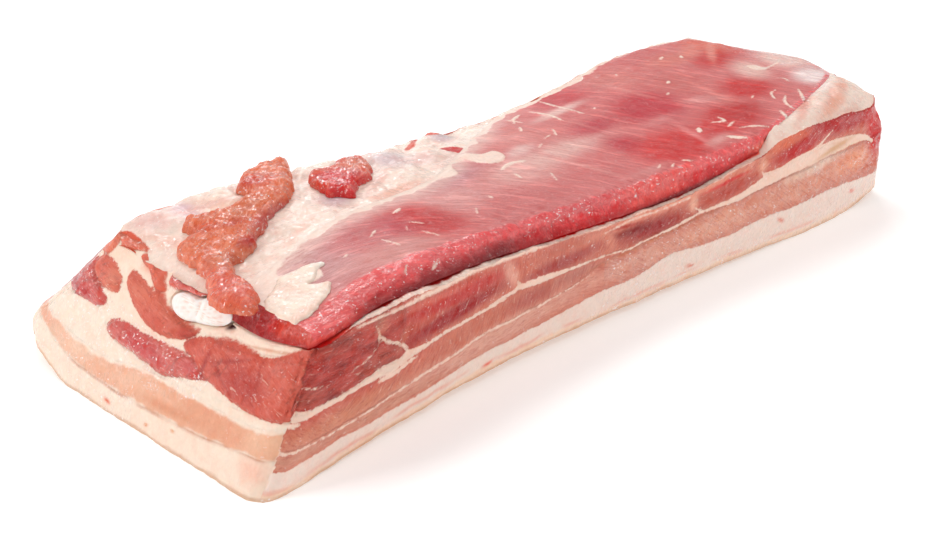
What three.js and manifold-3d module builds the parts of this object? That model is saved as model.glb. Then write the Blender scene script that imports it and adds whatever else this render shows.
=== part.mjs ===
// A slab of pork belly lying on its rind, in millimetres, +Z up.
// The origin is the middle of the underside's bounding box. The long side with the open seam faces -Y,
// the cut end with the rib cartilage faces -X.
//
// The slab is a stack of layers. Each layer fills the space between two height surfaces, and its edge
// follows the outline that the whole slab has at that height. The muscles on top are separate pieces.
import * as THREE from "three";
import Module from "manifold-3d";
import { mergeVertices } from "three/addons/utils/BufferGeometryUtils.js";

const LENGTH = 370;
const WIDTH = 150;
const GAP = 0.3; // clearance between neighbouring layers
const PAD_CLEARANCE = 0.7; // clearance below the pieces that lie on top

const NEAR_SLOPE = 0.55; // the -X end leans back by this much per mm of height
const FAR_END_X = 176; // foot of the +X end
const NOSE_REACH = 9; // how far the top muscle's nose passes that foot
const NOSE_Y = -20;
const FAR_CORNER_CUT = 10; // the top of the +X, -Y corner is set back by this much
const SIDE_BOW = 7; // how far the long -Y side is drawn in

const NEAR_FRONT_RADIUS = 9; // plan radius of each corner
const NEAR_BACK_RADIUS = 16;
const FAR_RADIUS = 14;

const RIND_CURL = 4; // the rind's lift off the table along the drawn-in side
const FAR_CURL = 7.5; // its lift at the +X end
const FAR_CURL_START = 138;
const CORNER_CURL = 8.5; // its lift at the -X, +Y corner
const CORNER_CURL_REACH = 46;
const FOOT_CREASE = 0.5; // the lift below which the rind lies flat on the table

const TOP_LEVEL = 50; // height at which the plan of the top is measured
const BACK_SET_IN = 8; // how far the top of the +Y side is drawn in at its narrowest
const SHOULDER_DROP = 4; // rounding of the top's rim
const SHOULDER_WIDTH = 7;

const CREVICE = 1.8; // height of the open seam at the top muscle's front edge
const CREVICE_DEPTH = 9;
const CREVICE_END = 84; // it closes towards this x
const FLAP_RIM_DROP = 1.2;
const LEAN_COVER = 1.8; // least depth of fat between the main lean and the top muscle

const RIB_MUSCLE_RISE = 7; // how far each piece on top stands up
const SCRAP_RISE = 5;
const MEMBRANE_RISE = 1.6;

const LUMP_RISE = 8; // swelling of the main lean at the +X, -Y corner
const LUMP_X = 128;

const CARTILAGE_DEPTH = 16;
const CARTILAGE_Y = -18.5;
const CARTILAGE_Z = 42.3;
const CARTILAGE_PROUD = 1;

const LAYER_STEPS = [26, 11]; // grid steps of a layer along X and Y
const FLAP_STEPS = [24, 6];

const clamp01 = (t) => Math.min(1, Math.max(0, t));
const smooth = (t) => clamp01(t) ** 2 * (3 - 2 * clamp01(t));
const lerp = (a, b, t) => a + (b - a) * t;
const bell = (t) => Math.exp(-t * t);

/** A smooth curve through [position, value] knots, level beyond both ends. */
function profile(knots) {
  const last = knots.length - 1;
  const slope = knots.map((knot, i) => {
    if (i === 0 || i === last) return 0;
    return (knots[i + 1][1] - knots[i - 1][1]) / (knots[i + 1][0] - knots[i - 1][0]);
  });
  return (x) => {
    if (x <= knots[0][0]) return knots[0][1];
    if (x >= knots[last][0]) return knots[last][1];
    const i = knots.findIndex((knot) => knot[0] > x) - 1;
    const [x0, y0] = knots[i];
    const [x1, y1] = knots[i + 1];
    const span = x1 - x0;
    const t = (x - x0) / span;
    const fromEnds = lerp(y0, y1, smooth(t));
    return fromEnds + span * t * (1 - t) * (slope[i] * (1 - t) - slope[i + 1] * t);
  };
}

// ---- Outline of the slab at a height ----

const bow = profile([[-186, 0], [-138, 0.5], [-68, 1], [32, 0.7], [82, 0.4], [132, 0]]);
const backSlope = profile([[0, 68], [12, 76], [20, 69], [30, 60], [42, 50], [54, 42]]);
const backSetIn = profile([[-100, 0], [-40, 0.6], [20, 1], [60, 0.9], [100, 0.5], [140, 0]]);

const frontEdge = (x) => -WIDTH / 2 + SIDE_BOW * bow(x);
const backEdge = (x, z) => backSlope(z) - BACK_SET_IN * backSetIn(x) * smooth(z / 45);
const nearEnd = (z) => -LENGTH / 2 + NEAR_SLOPE * z;

function farEnd(y, z) {
  const nose = NOSE_REACH * bell((y - NOSE_Y) / 20) * smooth(z / 42);
  const cut = FAR_CORNER_CUT * bell((y + WIDTH / 2) / 20) * smooth((z - 30) / 17);
  return FAR_END_X + nose - cut;
}

/** Moves a point of the LENGTH x WIDTH rectangle so that the rectangle's corners become arcs. */
function roundCorner(x, y) {
  const nearRadius = y < 0 ? NEAR_FRONT_RADIUS : NEAR_BACK_RADIUS;
  const radius = x < 0 ? nearRadius : FAR_RADIUS;
  const dx = Math.abs(x) - (LENGTH / 2 - radius);
  const dy = Math.abs(y) - (WIDTH / 2 - radius);
  if (dx <= 0 || dy <= 0) return [x, y];
  const excess = 1 - Math.max(dx, dy) / Math.hypot(dx, dy);
  return [x - Math.sign(x) * dx * excess, y - Math.sign(y) * dy * excess];
}

/** The point of the slab that belongs to a point of the rectangle, at height z. */
function place(x, y, z) {
  const [rx, ry] = roundCorner(x, y);
  const across = lerp(frontEdge(rx), backEdge(rx, z), ry / WIDTH + 0.5);
  const along = lerp(nearEnd(z), farEnd(across, z), rx / LENGTH + 0.5);
  return [along, across, z];
}

/** The same, on a height surface. The outline depends on the height, so the two are settled in turns. */
function placeOn(height, x, y) {
  let point = place(x, y, height(x, y));
  for (let turn = 0; turn < 8; turn += 1) {
    point = place(x, y, height(point[0], point[1]));
  }
  return point;
}

// ---- Height surfaces ----

/** A surface set by its run along the front side and by its run across the near end. */
function surface(alongFront, acrossEnd) {
  const atCorner = acrossEnd(-WIDTH / 2);
  const fade = (x) => bell(Math.max(0, x + 162) / 50);
  return (x, y) => alongFront(x) + (acrossEnd(y) - atCorner) * fade(x);
}

const fatTop = surface(
  profile([[-184, 12], [-78, 11.6], [-18, 14], [32, 16.5], [82, 15]]),
  profile([[-75, 12], [-40, 9.2], [0, 7.2], [30, 7.8], [50, 10.5], [66, 15]]),
);
const paleTop = surface(
  profile([[-170, 22], [-138, 23.6], [-110, 27], [-78, 28], [-18, 26], [32, 26.5], [132, 30]]),
  profile([[-75, 22.6], [-58, 19.6], [0, 18.2], [20, 15.4], [42, 16.5], [64, 20]]),
);
const seamTop = surface(
  profile([[-170, 26], [-138, 26.4], [-110, 30], [-18, 29], [32, 29.4], [82, 34], [132, 37], [172, 34]]),
  profile([[-75, 26], [-58, 22], [0, 20.2], [20, 21], [38, 28.5], [58, 26.5]]),
);
const leanRun = surface(
  profile([[-165, 42], [-138, 46.5], [-78, 43.6], [-43, 40], [32, 35], [82, 40]]),
  profile([[-75, 42], [-48, 38], [-34, 36.6], [-4, 36.6], [10, 44], [22, 49], [44, 49]]),
);
const leanTop = (x, y) => {
  const lump = LUMP_RISE * bell((x - LUMP_X) / 34) * bell((y + WIDTH / 2) / 14);
  return leanRun(x, y) + lump;
};
const bedRun = surface(
  profile([[-165, 45.6], [-138, 48.8], [-78, 46.6], [-43, 43.6], [32, 39.4], [82, 43.6]]),
  profile([[-75, 45.6], [-48, 42.5], [-20, 44], [20, 46]]),
);
const bed = (x, y) => Math.max(bedRun(x, y), leanTop(x, y) + LEAN_COVER);

const ridge = profile([[-158, 51.5], [-116, 56], [-78, 55], [-18, 51], [32, 49.5], [122, 53], [172, 51]]);
const backDrop = profile([[-160, 0], [-80, 4], [20, 6.5], [60, 7], [120, 3], [170, 2]]);

function slabTop(x, y) {
  return ridge(x) - backDrop(x) * smooth(y / 50);
}

/** The slab's top with its rim rounded off. */
function coverTop(x, y) {
  const rim = Math.min(
    y - frontEdge(x),
    backEdge(x, TOP_LEVEL) - y,
    x - nearEnd(TOP_LEVEL),
    farEnd(y, TOP_LEVEL) - x,
  );
  return slabTop(x, y) - SHOULDER_DROP * (1 - clamp01(rim / SHOULDER_WIDTH)) ** 2;
}

function underside(x, y) {
  const front = RIND_CURL * bow(x) * (1 - smooth((y - frontEdge(x)) / 11));
  const far = FAR_CURL * smooth((x - FAR_CURL_START) / 44);
  const corner = CORNER_CURL * (1 - smooth(Math.hypot(x + LENGTH / 2, y - WIDTH / 2) / CORNER_CURL_REACH));
  return Math.max(0, Math.max(front, far, corner) - FOOT_CREASE);
}

const raised = (height, rise) => (x, y) => height(x, y) + rise;

// ---- Solids ----

function toGeometry(positions, triangles) {
  const geometry = new THREE.BufferGeometry();
  geometry.setAttribute("position", new THREE.Float32BufferAttribute(positions.flat(), 3));
  geometry.setIndex(triangles.flat());
  return geometry;
}

/** Grid positions from lo to hi, closer together towards both ends. */
function stations(lo, hi, steps) {
  return Array.from({ length: steps + 1 }, (_, i) => {
    const t = i / steps;
    return lerp(lo, hi, lerp(t, (1 - Math.cos(Math.PI * t)) / 2, 0.75));
  });
}

/** A closed block over a grid: lower(i, j) and upper(i, j) give the points of its two skins. */
function block([stepsX, stepsY], lower, upper) {
  const rows = stepsY + 1;
  const count = (stepsX + 1) * rows;
  const skinPoints = (skin) => Array.from({ length: count }, (_, n) => skin(Math.floor(n / rows), n % rows));
  const triangles = [];
  const quad = (a, b, c, d) => triangles.push([a, b, c], [a, c, d]);
  const id = (i, j) => i * rows + j;
  for (let i = 0; i < stepsX; i += 1) {
    for (let j = 0; j < stepsY; j += 1) {
      quad(id(i, j), id(i, j + 1), id(i + 1, j + 1), id(i + 1, j));
      quad(count + id(i, j), count + id(i + 1, j), count + id(i + 1, j + 1), count + id(i, j + 1));
    }
  }
  const wall = (a, b) => quad(a, b, count + b, count + a);
  for (let i = 0; i < stepsX; i += 1) {
    wall(id(i, 0), id(i + 1, 0));
    wall(id(i + 1, stepsY), id(i, stepsY));
  }
  for (let j = 0; j < stepsY; j += 1) {
    wall(id(0, j + 1), id(0, j));
    wall(id(stepsX, j), id(stepsX, j + 1));
  }
  return toGeometry([...skinPoints(lower), ...skinPoints(upper)], triangles);
}

/** A layer of the whole slab between two height surfaces. */
function layer(lowerHeight, upperHeight) {
  const xs = stations(-LENGTH / 2, LENGTH / 2, LAYER_STEPS[0]);
  const ys = stations(-WIDTH / 2, WIDTH / 2, LAYER_STEPS[1]);
  const skin = (height) => (i, j) => placeOn(height, xs[i], ys[j]);
  return block(LAYER_STEPS, skin(lowerHeight), skin(upperHeight));
}

// Plan of the top muscle: its front and its back edge at each x.
const FLAP_X = [-156, 185];
const flapFront = profile([
  [-156, -72], [-142, -70.5], [-124, -65], [-68, -63], [20, -64.5], [82, -69], [104, -65.5], [128, -59], [152, -51.5],
  [168, -43.5], [176, -35], [185, -24],
]);
const flapBack = profile([
  [-156, -30], [-100, -18], [-48, -11], [-21, 2], [7, 18], [36, 33], [80, 35], [120, 41], [160, 43], [174, 5], [185, -17],
]);

// How far the foot of its open front wall stands out past the top of the wall.
const flapFoot = profile([[-156, 0], [-146, 1.2], [-125, 3.4], [-60, 3.2], [30, 2.8], [62, 1.5], [80, 0]]);

function creviceLift(x, y) {
  const open = 1 - smooth((y - flapFront(x)) / CREVICE_DEPTH);
  return CREVICE * open * (1 - smooth((x - CREVICE_END + 30) / 30));
}

function flapTop(x, y) {
  const rim = Math.min(y - flapFront(x), flapBack(x) - y, x - FLAP_X[0]);
  return slabTop(x, y) - FLAP_RIM_DROP * (1 - clamp01(rim / SHOULDER_WIDTH)) ** 2;
}

const flapLines = Array.from({ length: FLAP_STEPS[1] + 1 }, (_, j) => j / FLAP_STEPS[1]);
const flapStations = stations(FLAP_X[0], FLAP_X[1], FLAP_STEPS[0]);

/** A block over plan points rows[i][j], between two height surfaces. */
function planBlock(rows, lowerHeight, upperHeight) {
  const skin = (height) => (i, j) => [...rows[i][j], height(...rows[i][j])];
  return block([rows.length - 1, rows[0].length - 1], skin(lowerHeight), skin(upperHeight));
}

function flapBlock() {
  const plan = (x, t, foot) => [x, lerp(flapFront(x) - foot, flapBack(x), t)];
  const skin = (footAt, height) => (i, j) => {
    const [x, y] = plan(flapStations[i], flapLines[j], footAt(flapStations[i]));
    return [x, y, height(x, y)];
  };
  const lower = skin(flapFoot, (x, y) => bed(x, y) + creviceLift(x, y));
  return block(FLAP_STEPS, lower, skin(() => 0, flapTop));
}

/** The space that the top muscle takes out of the fat around it, open to the front and to the near end. */
function flapRoomBlock() {
  const margin = 2 * GAP;
  const xs = [FLAP_X[0] - 60, ...flapStations.slice(0, -1), FLAP_X[1] + margin];
  const rows = xs.map((x) => {
    const front = flapFront(x) - margin;
    const open = x < CREVICE_END ? -WIDTH : front - margin;
    return [[x, open], ...flapLines.map((t) => [x, lerp(front, flapBack(x) + margin, t)])];
  });
  return planBlock(rows, raised(bed, -GAP), raised(slabTop, 30));
}

/** A closed smooth outline through [a, b] points, as an array of points. */
function closedOutline(knots, steps) {
  const curve = new THREE.CatmullRomCurve3(knots.map(([a, b]) => new THREE.Vector3(a, b, 0)), true);
  return curve.getSpacedPoints(steps).slice(0, steps).map((p) => [p.x, p.y]);
}

/** A closed loft through rings of equal length, with a middle point at each end. */
function loft(rings, startPoint, endPoint) {
  const steps = rings[0].length;
  const positions = [...rings.flat(), startPoint, endPoint];
  const start = rings.length * steps;
  const triangles = [];
  for (let n = 0; n < steps; n += 1) {
    const next = (n + 1) % steps;
    triangles.push([start, next, n]);
    for (let ring = 0; ring + 1 < rings.length; ring += 1) {
      const a = ring * steps;
      const b = a + steps;
      triangles.push([a + n, a + next, b + next], [a + n, b + next, b + n]);
    }
    const top = start - steps;
    triangles.push([start + 1, top + n, top + next]);
  }
  return toGeometry(positions, triangles);
}

/** A piece lying on the slab's top: a rounded strip along a middle line, with its half width at each knot. */
function tongue(middleKnots, halfWidths, [stepsX, stepsY], rise) {
  const line = new THREE.CatmullRomCurve3(middleKnots.map(([x, y]) => new THREE.Vector3(x, y, 0)));
  const width = profile(halfWidths.map((w, n) => [n / (halfWidths.length - 1), w]));
  const spot = (i, j) => {
    const t = i / stepsX;
    const middle = line.getPoint(t);
    const ahead = line.getTangent(t);
    const side = (j / stepsY) * 2 - 1;
    const offset = side * width(t);
    const x = middle.x - ahead.y * offset;
    const y = middle.y + ahead.x * offset;
    const crown = Math.sqrt((1 - 0.85 * side ** 4) * (1 - 0.85 * (2 * t - 1) ** 6));
    return [x, y, slabTop(x, y) + PAD_CLEARANCE, rise * crown];
  };
  const skin = (part) => (i, j) => {
    const [x, y, z, height] = spot(i, j);
    return [x, y, z + part * height];
  };
  return block([stepsX, stepsY], skin(0), skin(1));
}

const RIB_MUSCLE_LINE = [[-156, -36], [-151, -14], [-137, 2], [-117, 11], [-99, 22], [-81, 37]];
const RIB_MUSCLE_HALF = [4, 8, 13, 12, 10, 7];
const SCRAP_LINE = [[-84, 1], [-69, 13], [-57, 25]];
const SCRAP_HALF = [6, 11, 7];
const MEMBRANE_LINE = [[-153, -52], [-146, -50], [-137, -47], [-127, -41.5]];
const MEMBRANE_HALF = [8, 13, 11.5, 3.5];

// The cartilage's cut face in Y and Z: two lobes with a notch on top.
const CARTILAGE = [
  [-3, 40.5], [-4.5, 43.4], [-10, 44.8], [-15.5, 44.6], [-20, 46.6], [-26, 47.6], [-32, 46.8], [-34.5, 44],
  [-32, 41.5], [-26, 39.6], [-19, 38.4], [-12, 37.2], [-6, 38],
];

/** The cartilage, or the socket for it when it is grown by a margin. */
function cartilageBlock(margin, proud) {
  const outline = closedOutline(CARTILAGE, 26);
  const ringShapes = [[0.7, -proud], [0.93, -proud + 0.4], [1, -proud + 1.6], [1, CARTILAGE_DEPTH + margin]];
  const rings = ringShapes.map(([scale, inset]) =>
    outline.map(([y, z]) => {
      const dy = y - CARTILAGE_Y;
      const dz = z - CARTILAGE_Z;
      const grow = scale + margin / Math.hypot(dy, dz);
      const height = CARTILAGE_Z + dz * grow;
      return [nearEnd(height) + inset, CARTILAGE_Y + dy * grow, height];
    }),
  );
  const faceMiddle = (inset) => [nearEnd(CARTILAGE_Z) + inset, CARTILAGE_Y, CARTILAGE_Z];
  return loft(rings, faceMiddle(-proud), faceMiddle(CARTILAGE_DEPTH + margin));
}

// ---- Cutting one piece by another ----

const wasm = await Module();
wasm.setup();

function toManifold(geometry) {
  const merged = mergeVertices(geometry, 1e-4);
  return new wasm.Manifold(
    new wasm.Mesh({
      numProp: 3,
      vertProperties: new Float32Array(merged.getAttribute("position").array),
      triVerts: new Uint32Array(merged.getIndex().array),
    }),
  );
}

function cutBy(geometry, ...cutters) {
  const left = cutters.reduce((solid, cutter) => solid.subtract(toManifold(cutter)), toManifold(geometry));
  const mesh = left.getMesh();
  const cut = new THREE.BufferGeometry();
  cut.setAttribute("position", new THREE.BufferAttribute(new Float32Array(mesh.vertProperties), 3));
  cut.setIndex(new THREE.BufferAttribute(new Uint32Array(mesh.triVerts), 1));
  return cut;
}

// ---- The pieces ----

const TISSUES = {
  fat: { color: 0xf3e0d0, roughness: 0.45, metalness: 0 },
  pale_meat: { color: 0xe6b49a, roughness: 0.4, metalness: 0 },
  meat: { color: 0xb8464a, roughness: 0.35, metalness: 0 },
  rib_meat: { color: 0xd2603e, roughness: 0.45, metalness: 0 },
  cartilage: { color: 0xf6ece0, roughness: 0.35, metalness: 0 },
};

const flapRoom = flapRoomBlock();
const cartilageRoom = cartilageBlock(GAP + 0.1, 14);

const PIECES = {
  back_fat: [TISSUES.fat, layer(underside, fatTop)],
  pale_lean: [TISSUES.pale_meat, layer(raised(fatTop, GAP), paleTop)],
  seam_fat: [TISSUES.fat, layer(raised(paleTop, GAP), seamTop)],
  main_lean: [TISSUES.meat, cutBy(layer(raised(seamTop, GAP), leanTop), cartilageRoom)],
  fat_cover: [TISSUES.fat, cutBy(layer(raised(leanTop, GAP), coverTop), flapRoom, cartilageRoom)],
  top_muscle: [TISSUES.meat, cutBy(flapBlock(), cartilageRoom)],
  rib_muscle: [TISSUES.rib_meat, tongue(RIB_MUSCLE_LINE, RIB_MUSCLE_HALF, [16, 6], RIB_MUSCLE_RISE)],
  muscle_scrap: [TISSUES.rib_meat, tongue(SCRAP_LINE, SCRAP_HALF, [8, 6], SCRAP_RISE)],
  membrane: [TISSUES.fat, tongue(MEMBRANE_LINE, MEMBRANE_HALF, [8, 6], MEMBRANE_RISE)],
  cartilage: [TISSUES.cartilage, cartilageBlock(0, CARTILAGE_PROUD)],
};

const slab = new THREE.Group();
for (const [name, [tissue, geometry]] of Object.entries(PIECES)) {
  const mesh = new THREE.Mesh(geometry, new THREE.MeshStandardMaterial(tissue));
  mesh.name = name;
  slab.add(mesh);
}

export default slab;
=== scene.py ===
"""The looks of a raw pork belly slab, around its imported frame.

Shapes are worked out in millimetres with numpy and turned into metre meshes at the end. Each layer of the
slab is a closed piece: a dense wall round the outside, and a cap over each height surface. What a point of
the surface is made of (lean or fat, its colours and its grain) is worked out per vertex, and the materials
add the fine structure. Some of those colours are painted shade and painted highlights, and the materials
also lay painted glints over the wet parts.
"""

import math

import bpy
import numpy as np
from mathutils import Matrix, Vector
from mathutils.geometry import delaunay_2d_cdt


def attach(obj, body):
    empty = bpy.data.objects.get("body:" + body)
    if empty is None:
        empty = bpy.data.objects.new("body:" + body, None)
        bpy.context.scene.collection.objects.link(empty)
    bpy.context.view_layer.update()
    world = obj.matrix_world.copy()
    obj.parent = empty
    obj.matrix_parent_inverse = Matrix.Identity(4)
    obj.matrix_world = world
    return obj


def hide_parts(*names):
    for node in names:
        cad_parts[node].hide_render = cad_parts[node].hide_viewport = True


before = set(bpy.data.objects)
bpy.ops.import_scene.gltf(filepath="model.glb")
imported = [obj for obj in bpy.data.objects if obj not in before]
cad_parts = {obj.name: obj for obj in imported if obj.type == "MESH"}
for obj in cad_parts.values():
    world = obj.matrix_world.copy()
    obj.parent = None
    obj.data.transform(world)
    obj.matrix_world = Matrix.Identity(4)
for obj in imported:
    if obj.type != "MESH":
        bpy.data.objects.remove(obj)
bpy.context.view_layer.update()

MM = 0.001
LENGTH = 370.0
WIDTH = 150.0
CHART_SHIFT = 18  # from the slab's x to the x of the flat charts that the patterns are drawn on
TOP_VIEW_SLANT = 1.43  # shift in x and y of the top's chart, per mm of height above TOP_LEVEL

# ---------------------------------------------------------------- small helpers


def lerp(a, b, t):
    return a + (b - a) * t


def clamp01(t):
    return np.clip(t, 0.0, 1.0)


def smooth(t):
    t = clamp01(t)
    return t * t * (3 - 2 * t)


def bell(t):
    return np.exp(-t * t)


def profile(knots):
    """A smooth curve through (position, value) knots, level beyond both ends."""
    xs, ys = np.array(knots, float).T
    slope = np.zeros(len(xs))
    slope[1:-1] = (ys[2:] - ys[:-2]) / (xs[2:] - xs[:-2])

    def value(x):
        x = np.clip(x, xs[0], xs[-1])
        i = np.clip(np.searchsorted(xs, x, side="right") - 1, 0, len(xs) - 2)
        span = xs[i + 1] - xs[i]
        t = (x - xs[i]) / span
        lean_in = slope[i] * (1 - t) - slope[i + 1] * t
        return lerp(ys[i], ys[i + 1], smooth(t)) + span * t * (1 - t) * lean_in

    return value


def rgb(red, green, blue):
    """A linear colour from its 0 to 255 display values."""
    c = np.array([red, green, blue], float) / 255
    return np.where(c <= 0.04045, c / 12.92, ((c + 0.055) / 1.055) ** 2.4)


# How brightly each face is lit, and what its wet shine adds to every colour.
END_LIGHT, SIDE_LIGHT, TOP_LIGHT = (1.06, 0.045), (0.84, 0.05), (0.98, 0.085)


def seen(red, green, blue, light=SIDE_LIGHT):
    """The surface colour that shows as these display values on a face in that light."""
    brightness, shine = light
    return np.clip((rgb(red, green, blue) - shine) / brightness, 0.002, 0.97)


# ---------------------------------------------------------------- noise


def lattice_hash(ix, iy, iz, seed):
    h = ix.astype(np.uint32) * np.uint32(374761393) + iy.astype(np.uint32) * np.uint32(668265263)
    h = h + iz.astype(np.uint32) * np.uint32(2147483647) + np.uint32(seed * 974634777 % 4294967296)
    h = (h ^ (h >> np.uint32(13))) * np.uint32(1274126177)
    h = (h ^ (h >> np.uint32(16))) * np.uint32(2246822519)
    return h ^ (h >> np.uint32(15))


def noise(p, seed=0):
    """Smooth noise, about -1 to 1, at points p of shape (n, 3)."""
    cell = np.floor(p).astype(np.int64)
    f = p - cell
    w = f * f * f * (f * (f * 6 - 15) + 10)
    total = np.zeros(len(p))
    for dx in (0, 1):
        for dy in (0, 1):
            for dz in (0, 1):
                h = lattice_hash(cell[:, 0] + dx, cell[:, 1] + dy, cell[:, 2] + dz, seed)
                gx = (h & np.uint32(1023)) / 511.5 - 1
                gy = ((h >> np.uint32(10)) & np.uint32(1023)) / 511.5 - 1
                gz = ((h >> np.uint32(20)) & np.uint32(1023)) / 511.5 - 1
                dot = gx * (f[:, 0] - dx) + gy * (f[:, 1] - dy) + gz * (f[:, 2] - dz)
                wx = w[:, 0] if dx else 1 - w[:, 0]
                wy = w[:, 1] if dy else 1 - w[:, 1]
                wz = w[:, 2] if dz else 1 - w[:, 2]
                total += dot * wx * wy * wz
    return total * 1.4


def fbm(p, size, octaves=3, seed=0):
    """Layered noise whose largest features are about `size` millimetres across."""
    total = np.zeros(len(p))
    gain = 1.0
    q = p / size
    for octave in range(octaves):
        total += gain * noise(q * 2**octave + 17.3 * octave, seed + octave)
        gain *= 0.5
    return total


def stack(*columns):
    return np.stack(np.broadcast_arrays(*columns), axis=-1)


# ---------------------------------------------------------------- outline of the slab at a height

bow = profile([(-186, 0), (-138, 0.5), (-68, 1), (32, 0.7), (82, 0.4), (132, 0)])
back_slope = profile([(0, 68), (12, 76), (20, 69), (30, 60), (42, 50), (54, 42)])
back_set_in = profile([(-100, 0), (-40, 0.6), (20, 1), (60, 0.9), (100, 0.5), (140, 0)])

SIDE_BOW = 7.0
TOP_LEVEL = 50.0


def front_edge(x):
    return -WIDTH / 2 + SIDE_BOW * bow(x)


def back_edge(x, z):
    return back_slope(z) - 8 * back_set_in(x) * smooth(z / 45)


def near_end(z):
    return -LENGTH / 2 + 0.55 * z


def far_end(y, z):
    nose = 9 * bell((y + 20) / 20) * smooth(z / 42)
    cut = 10 * bell((y + WIDTH / 2) / 20) * smooth((z - 30) / 17)
    return 176 + nose - cut


def round_corner(x, y):
    radius = np.where(x < 0, np.where(y < 0, 9.0, 16.0), 14.0)
    dx = np.abs(x) - (LENGTH / 2 - radius)
    dy = np.abs(y) - (WIDTH / 2 - radius)
    inside = (dx > 0) & (dy > 0)
    excess = np.where(inside, 1 - np.maximum(dx, dy) / np.maximum(np.hypot(dx, dy), 1e-9), 0.0)
    return x - np.sign(x) * dx * excess, y - np.sign(y) * dy * excess


def place(rx, ry, z):
    rx, ry = round_corner(rx, ry)
    across = lerp(front_edge(rx), back_edge(rx, z), ry / WIDTH + 0.5)
    along = lerp(near_end(z), far_end(across, z), rx / LENGTH + 0.5)
    return along, across


def place_on(height, rx, ry):
    x, y = place(rx, ry, height(rx, ry))
    for _ in range(8):
        x, y = place(rx, ry, height(x, y))
    return x, y, height(x, y)


# ---------------------------------------------------------------- height surfaces


def surface(along_front, across_end):
    at_corner = across_end(-WIDTH / 2)
    return lambda x, y: along_front(x) + (across_end(y) - at_corner) * bell(np.maximum(0, x + 162) / 50)


fat_top = surface(
    profile([(-184, 12), (-78, 11.6), (-18, 14), (32, 16.5), (82, 15)]),
    profile([(-75, 12), (-40, 9.2), (0, 7.2), (30, 7.8), (50, 10.5), (66, 15)]),
)
pale_top = surface(
    profile([(-170, 22), (-138, 23.6), (-110, 27), (-78, 28), (-18, 26), (32, 26.5), (132, 30)]),
    profile([(-75, 22.6), (-58, 19.6), (0, 18.2), (20, 15.4), (42, 16.5), (64, 20)]),
)
seam_top = surface(
    profile([(-170, 26), (-138, 26.4), (-110, 30), (-18, 29), (32, 29.4), (82, 34), (132, 37), (172, 34)]),
    profile([(-75, 26), (-58, 22), (0, 20.2), (20, 21), (38, 28.5), (58, 26.5)]),
)
lean_run = surface(
    profile([(-165, 42), (-138, 46.5), (-78, 43.6), (-43, 40), (32, 35), (82, 40)]),
    profile([(-75, 42), (-48, 38), (-34, 36.6), (-4, 36.6), (10, 44), (22, 49), (44, 49)]),
)
bed_run = surface(
    profile([(-165, 45.6), (-138, 48.8), (-78, 46.6), (-43, 43.6), (32, 39.4), (82, 43.6)]),
    profile([(-75, 45.6), (-48, 42.5), (-20, 44), (20, 46)]),
)
ridge = profile([(-158, 51.5), (-116, 56), (-78, 55), (-18, 51), (32, 49.5), (122, 53), (172, 51)])
back_drop = profile([(-160, 0), (-80, 4), (20, 6.5), (60, 7), (120, 3), (170, 2)])

flap_front = profile([
    (-156, -72), (-142, -70.5), (-124, -65), (-68, -63), (20, -64.5), (82, -69), (104, -65.5), (128, -59),
    (152, -51.5), (168, -43.5), (176, -35), (185, -24),
])
flap_back = profile([
    (-156, -30), (-100, -18), (-48, -11), (-21, 2), (7, 18), (36, 33), (80, 35), (120, 41), (160, 43),
    (174, 5), (185, -17),
])


def lean_top(x, y):
    return lean_run(x, y) + 8 * bell((x - 128) / 34) * bell((y + WIDTH / 2) / 14)


def bed(x, y):
    return np.maximum(bed_run(x, y), lean_top(x, y) + 1.8)


def slab_top(x, y):
    return ridge(x) - back_drop(x) * smooth(y / 50)


def rim_distance(x, y):
    sides = (y - front_edge(x), back_edge(x, TOP_LEVEL) - y, x - near_end(TOP_LEVEL),
             far_end(y, TOP_LEVEL) - x)
    return np.minimum.reduce(sides)


def underside(x, y):
    front = 4 * bow(x) * (1 - smooth((y - front_edge(x)) / 11))
    far = 7.5 * smooth((x - 138) / 44)
    corner = 8.5 * (1 - smooth(np.hypot(x + LENGTH / 2, y - WIDTH / 2) / 46))
    return np.maximum(np.maximum.reduce((front, far, corner)) - 0.5, 0)


# ---------------------------------------------------------------- planar shapes


def closed_curve(points, steps=5):
    """A smooth closed outline through the points."""
    p = np.array(points, float)
    a, b, c, d = np.roll(p, 1, 0), p, np.roll(p, -1, 0), np.roll(p, -2, 0)
    out = []
    for t in np.arange(steps) / steps:
        out.append(0.5 * (2 * b + (c - a) * t + (2 * a - 5 * b + 4 * c - d) * t**2 + (3 * b - a - 3 * c + d)
                          * t**3))
    return np.stack(out, 1).reshape(-1, 2)


def open_curve(points, step=1.0):
    """Points about `step` apart along a smooth line through the points."""
    p = np.array(points, float)
    p = np.vstack([2 * p[0] - p[1], p, 2 * p[-1] - p[-2]])
    out = []
    for a, b, c, d in zip(p[:-3], p[1:-2], p[2:-1], p[3:]):
        n = max(2, int(np.linalg.norm(c - b) / step))
        t = (np.arange(n) / n)[:, None]
        out.append(0.5 * (2 * b + (c - a) * t + (2 * a - 5 * b + 4 * c - d) * t**2 + (3 * b - a - 3 * c + d)
                          * t**3))
    return np.vstack(out + [p[-2:-1]])


def segment_distance(q, a, b):
    ab = b - a
    t = clamp01(((q - a) @ ab) / max(ab @ ab, 1e-12))
    return np.hypot(*(q - a - t[:, None] * ab).T), t


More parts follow.
